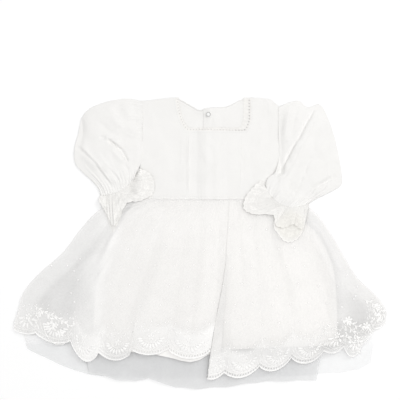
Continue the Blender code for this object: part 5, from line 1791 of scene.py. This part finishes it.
hem_stitches = bmesh.new()
stitch_row(hem_stitches, [(x, y + HEM_STITCH_LINE) for x, y in LINING_FRONT_HEM[1:-1]], pitch=3.4)
lay_on_cloth(hem_stitches, "lining_hem_stitches", SEWING, ["lining_front_cloth"])

# %% [markdown]
# ## How each cloth was cut
# Skirt panels are flared pieces that are gathered to the waist, so their area is less than width by
# length. A sleeve's or a cuff's cut goes all round the arm.

# %% [markdown]
# ## Floor, light and camera
#
# The dress was photographed from straight above in flat, bright light. A wide soft light hangs over it, and a
# weaker one from the upper right gives the folds their shading. The floor is plain and pale.

# %% Floor
FLOOR_HALF, FLOOR_Z, FLOOR_WHITE = 3.0, -0.0006, (0.96, 0.96, 0.96)  # just below the lowest cloth
floor_mesh = bmesh.new()
bmesh.ops.create_grid(floor_mesh, x_segments=1, y_segments=1, size=FLOOR_HALF, calc_uvs=False)
for vert in floor_mesh.verts:
    vert.co.z = FLOOR_Z
floor_data = bpy.data.meshes.new("floor")
floor_mesh.to_mesh(floor_data)
floor_mesh.free()
floor_finish, _, _, floor_shader = new_material("pale_floor", FLOOR_WHITE, 1.0)
floor_shader.inputs["Specular IOR Level"].default_value = 0.0
floor_data.materials.append(floor_finish)
floor = bpy.data.objects.new("floor", floor_data)
bpy.context.scene.collection.objects.link(floor)


# %% Lights
MIDDLE = (0.0, 0.05, 0.0)  # the point on the dress at which the lights are aimed
SKY_STRENGTH = 0.45


def soft_light(name, place, width, power):
    """A square soft light of a width in metres and a power in watts."""
    data = bpy.data.lights.new(name, "AREA")
    data.shape = "SQUARE"
    data.size = width
    data.energy = power
    light = bpy.data.objects.new(name, data)
    bpy.context.scene.collection.objects.link(light)
    light.location = place
    light.rotation_euler = (Vector(MIDDLE) - Vector(place)).to_track_quat("-Z", "Y").to_euler()


soft_light("overhead", (0.0, 0.1, 2.6), 2.6, 45)
soft_light("side", (1.5, 1.1, 1.6), 1.0, 12)
world = bpy.data.worlds.new("studio")
world.use_nodes = True
sky = world.node_tree.nodes["Background"]
sky.inputs["Color"].default_value = (1, 1, 1, 1)
sky.inputs["Strength"].default_value = SKY_STRENGTH
bpy.context.scene.world = world
bpy.context.scene.view_settings.view_transform = "Standard"
bpy.context.scene.view_settings.look = "None"

# %% Camera
VIEW_WIDTH, VIEW_MIDDLE = 0.580, (-0.0004, 0.0628)  # what the picture shows of the floor, in metres
LENS, SENSOR = 100.0, 36.0
DRESS_HEIGHT = 0.008  # the view has its width at about the height of the dress's upper side
camera_data = bpy.data.cameras.new("camera")
camera_data.lens = LENS
camera_data.sensor_width = SENSOR
camera = bpy.data.objects.new("camera", camera_data)
bpy.context.scene.collection.objects.link(camera)
camera.location = (*VIEW_MIDDLE, VIEW_WIDTH * LENS / SENSOR + DRESS_HEIGHT)
bpy.context.scene.camera = camera
print("camera height:", round(camera.location.z, 3), "m")
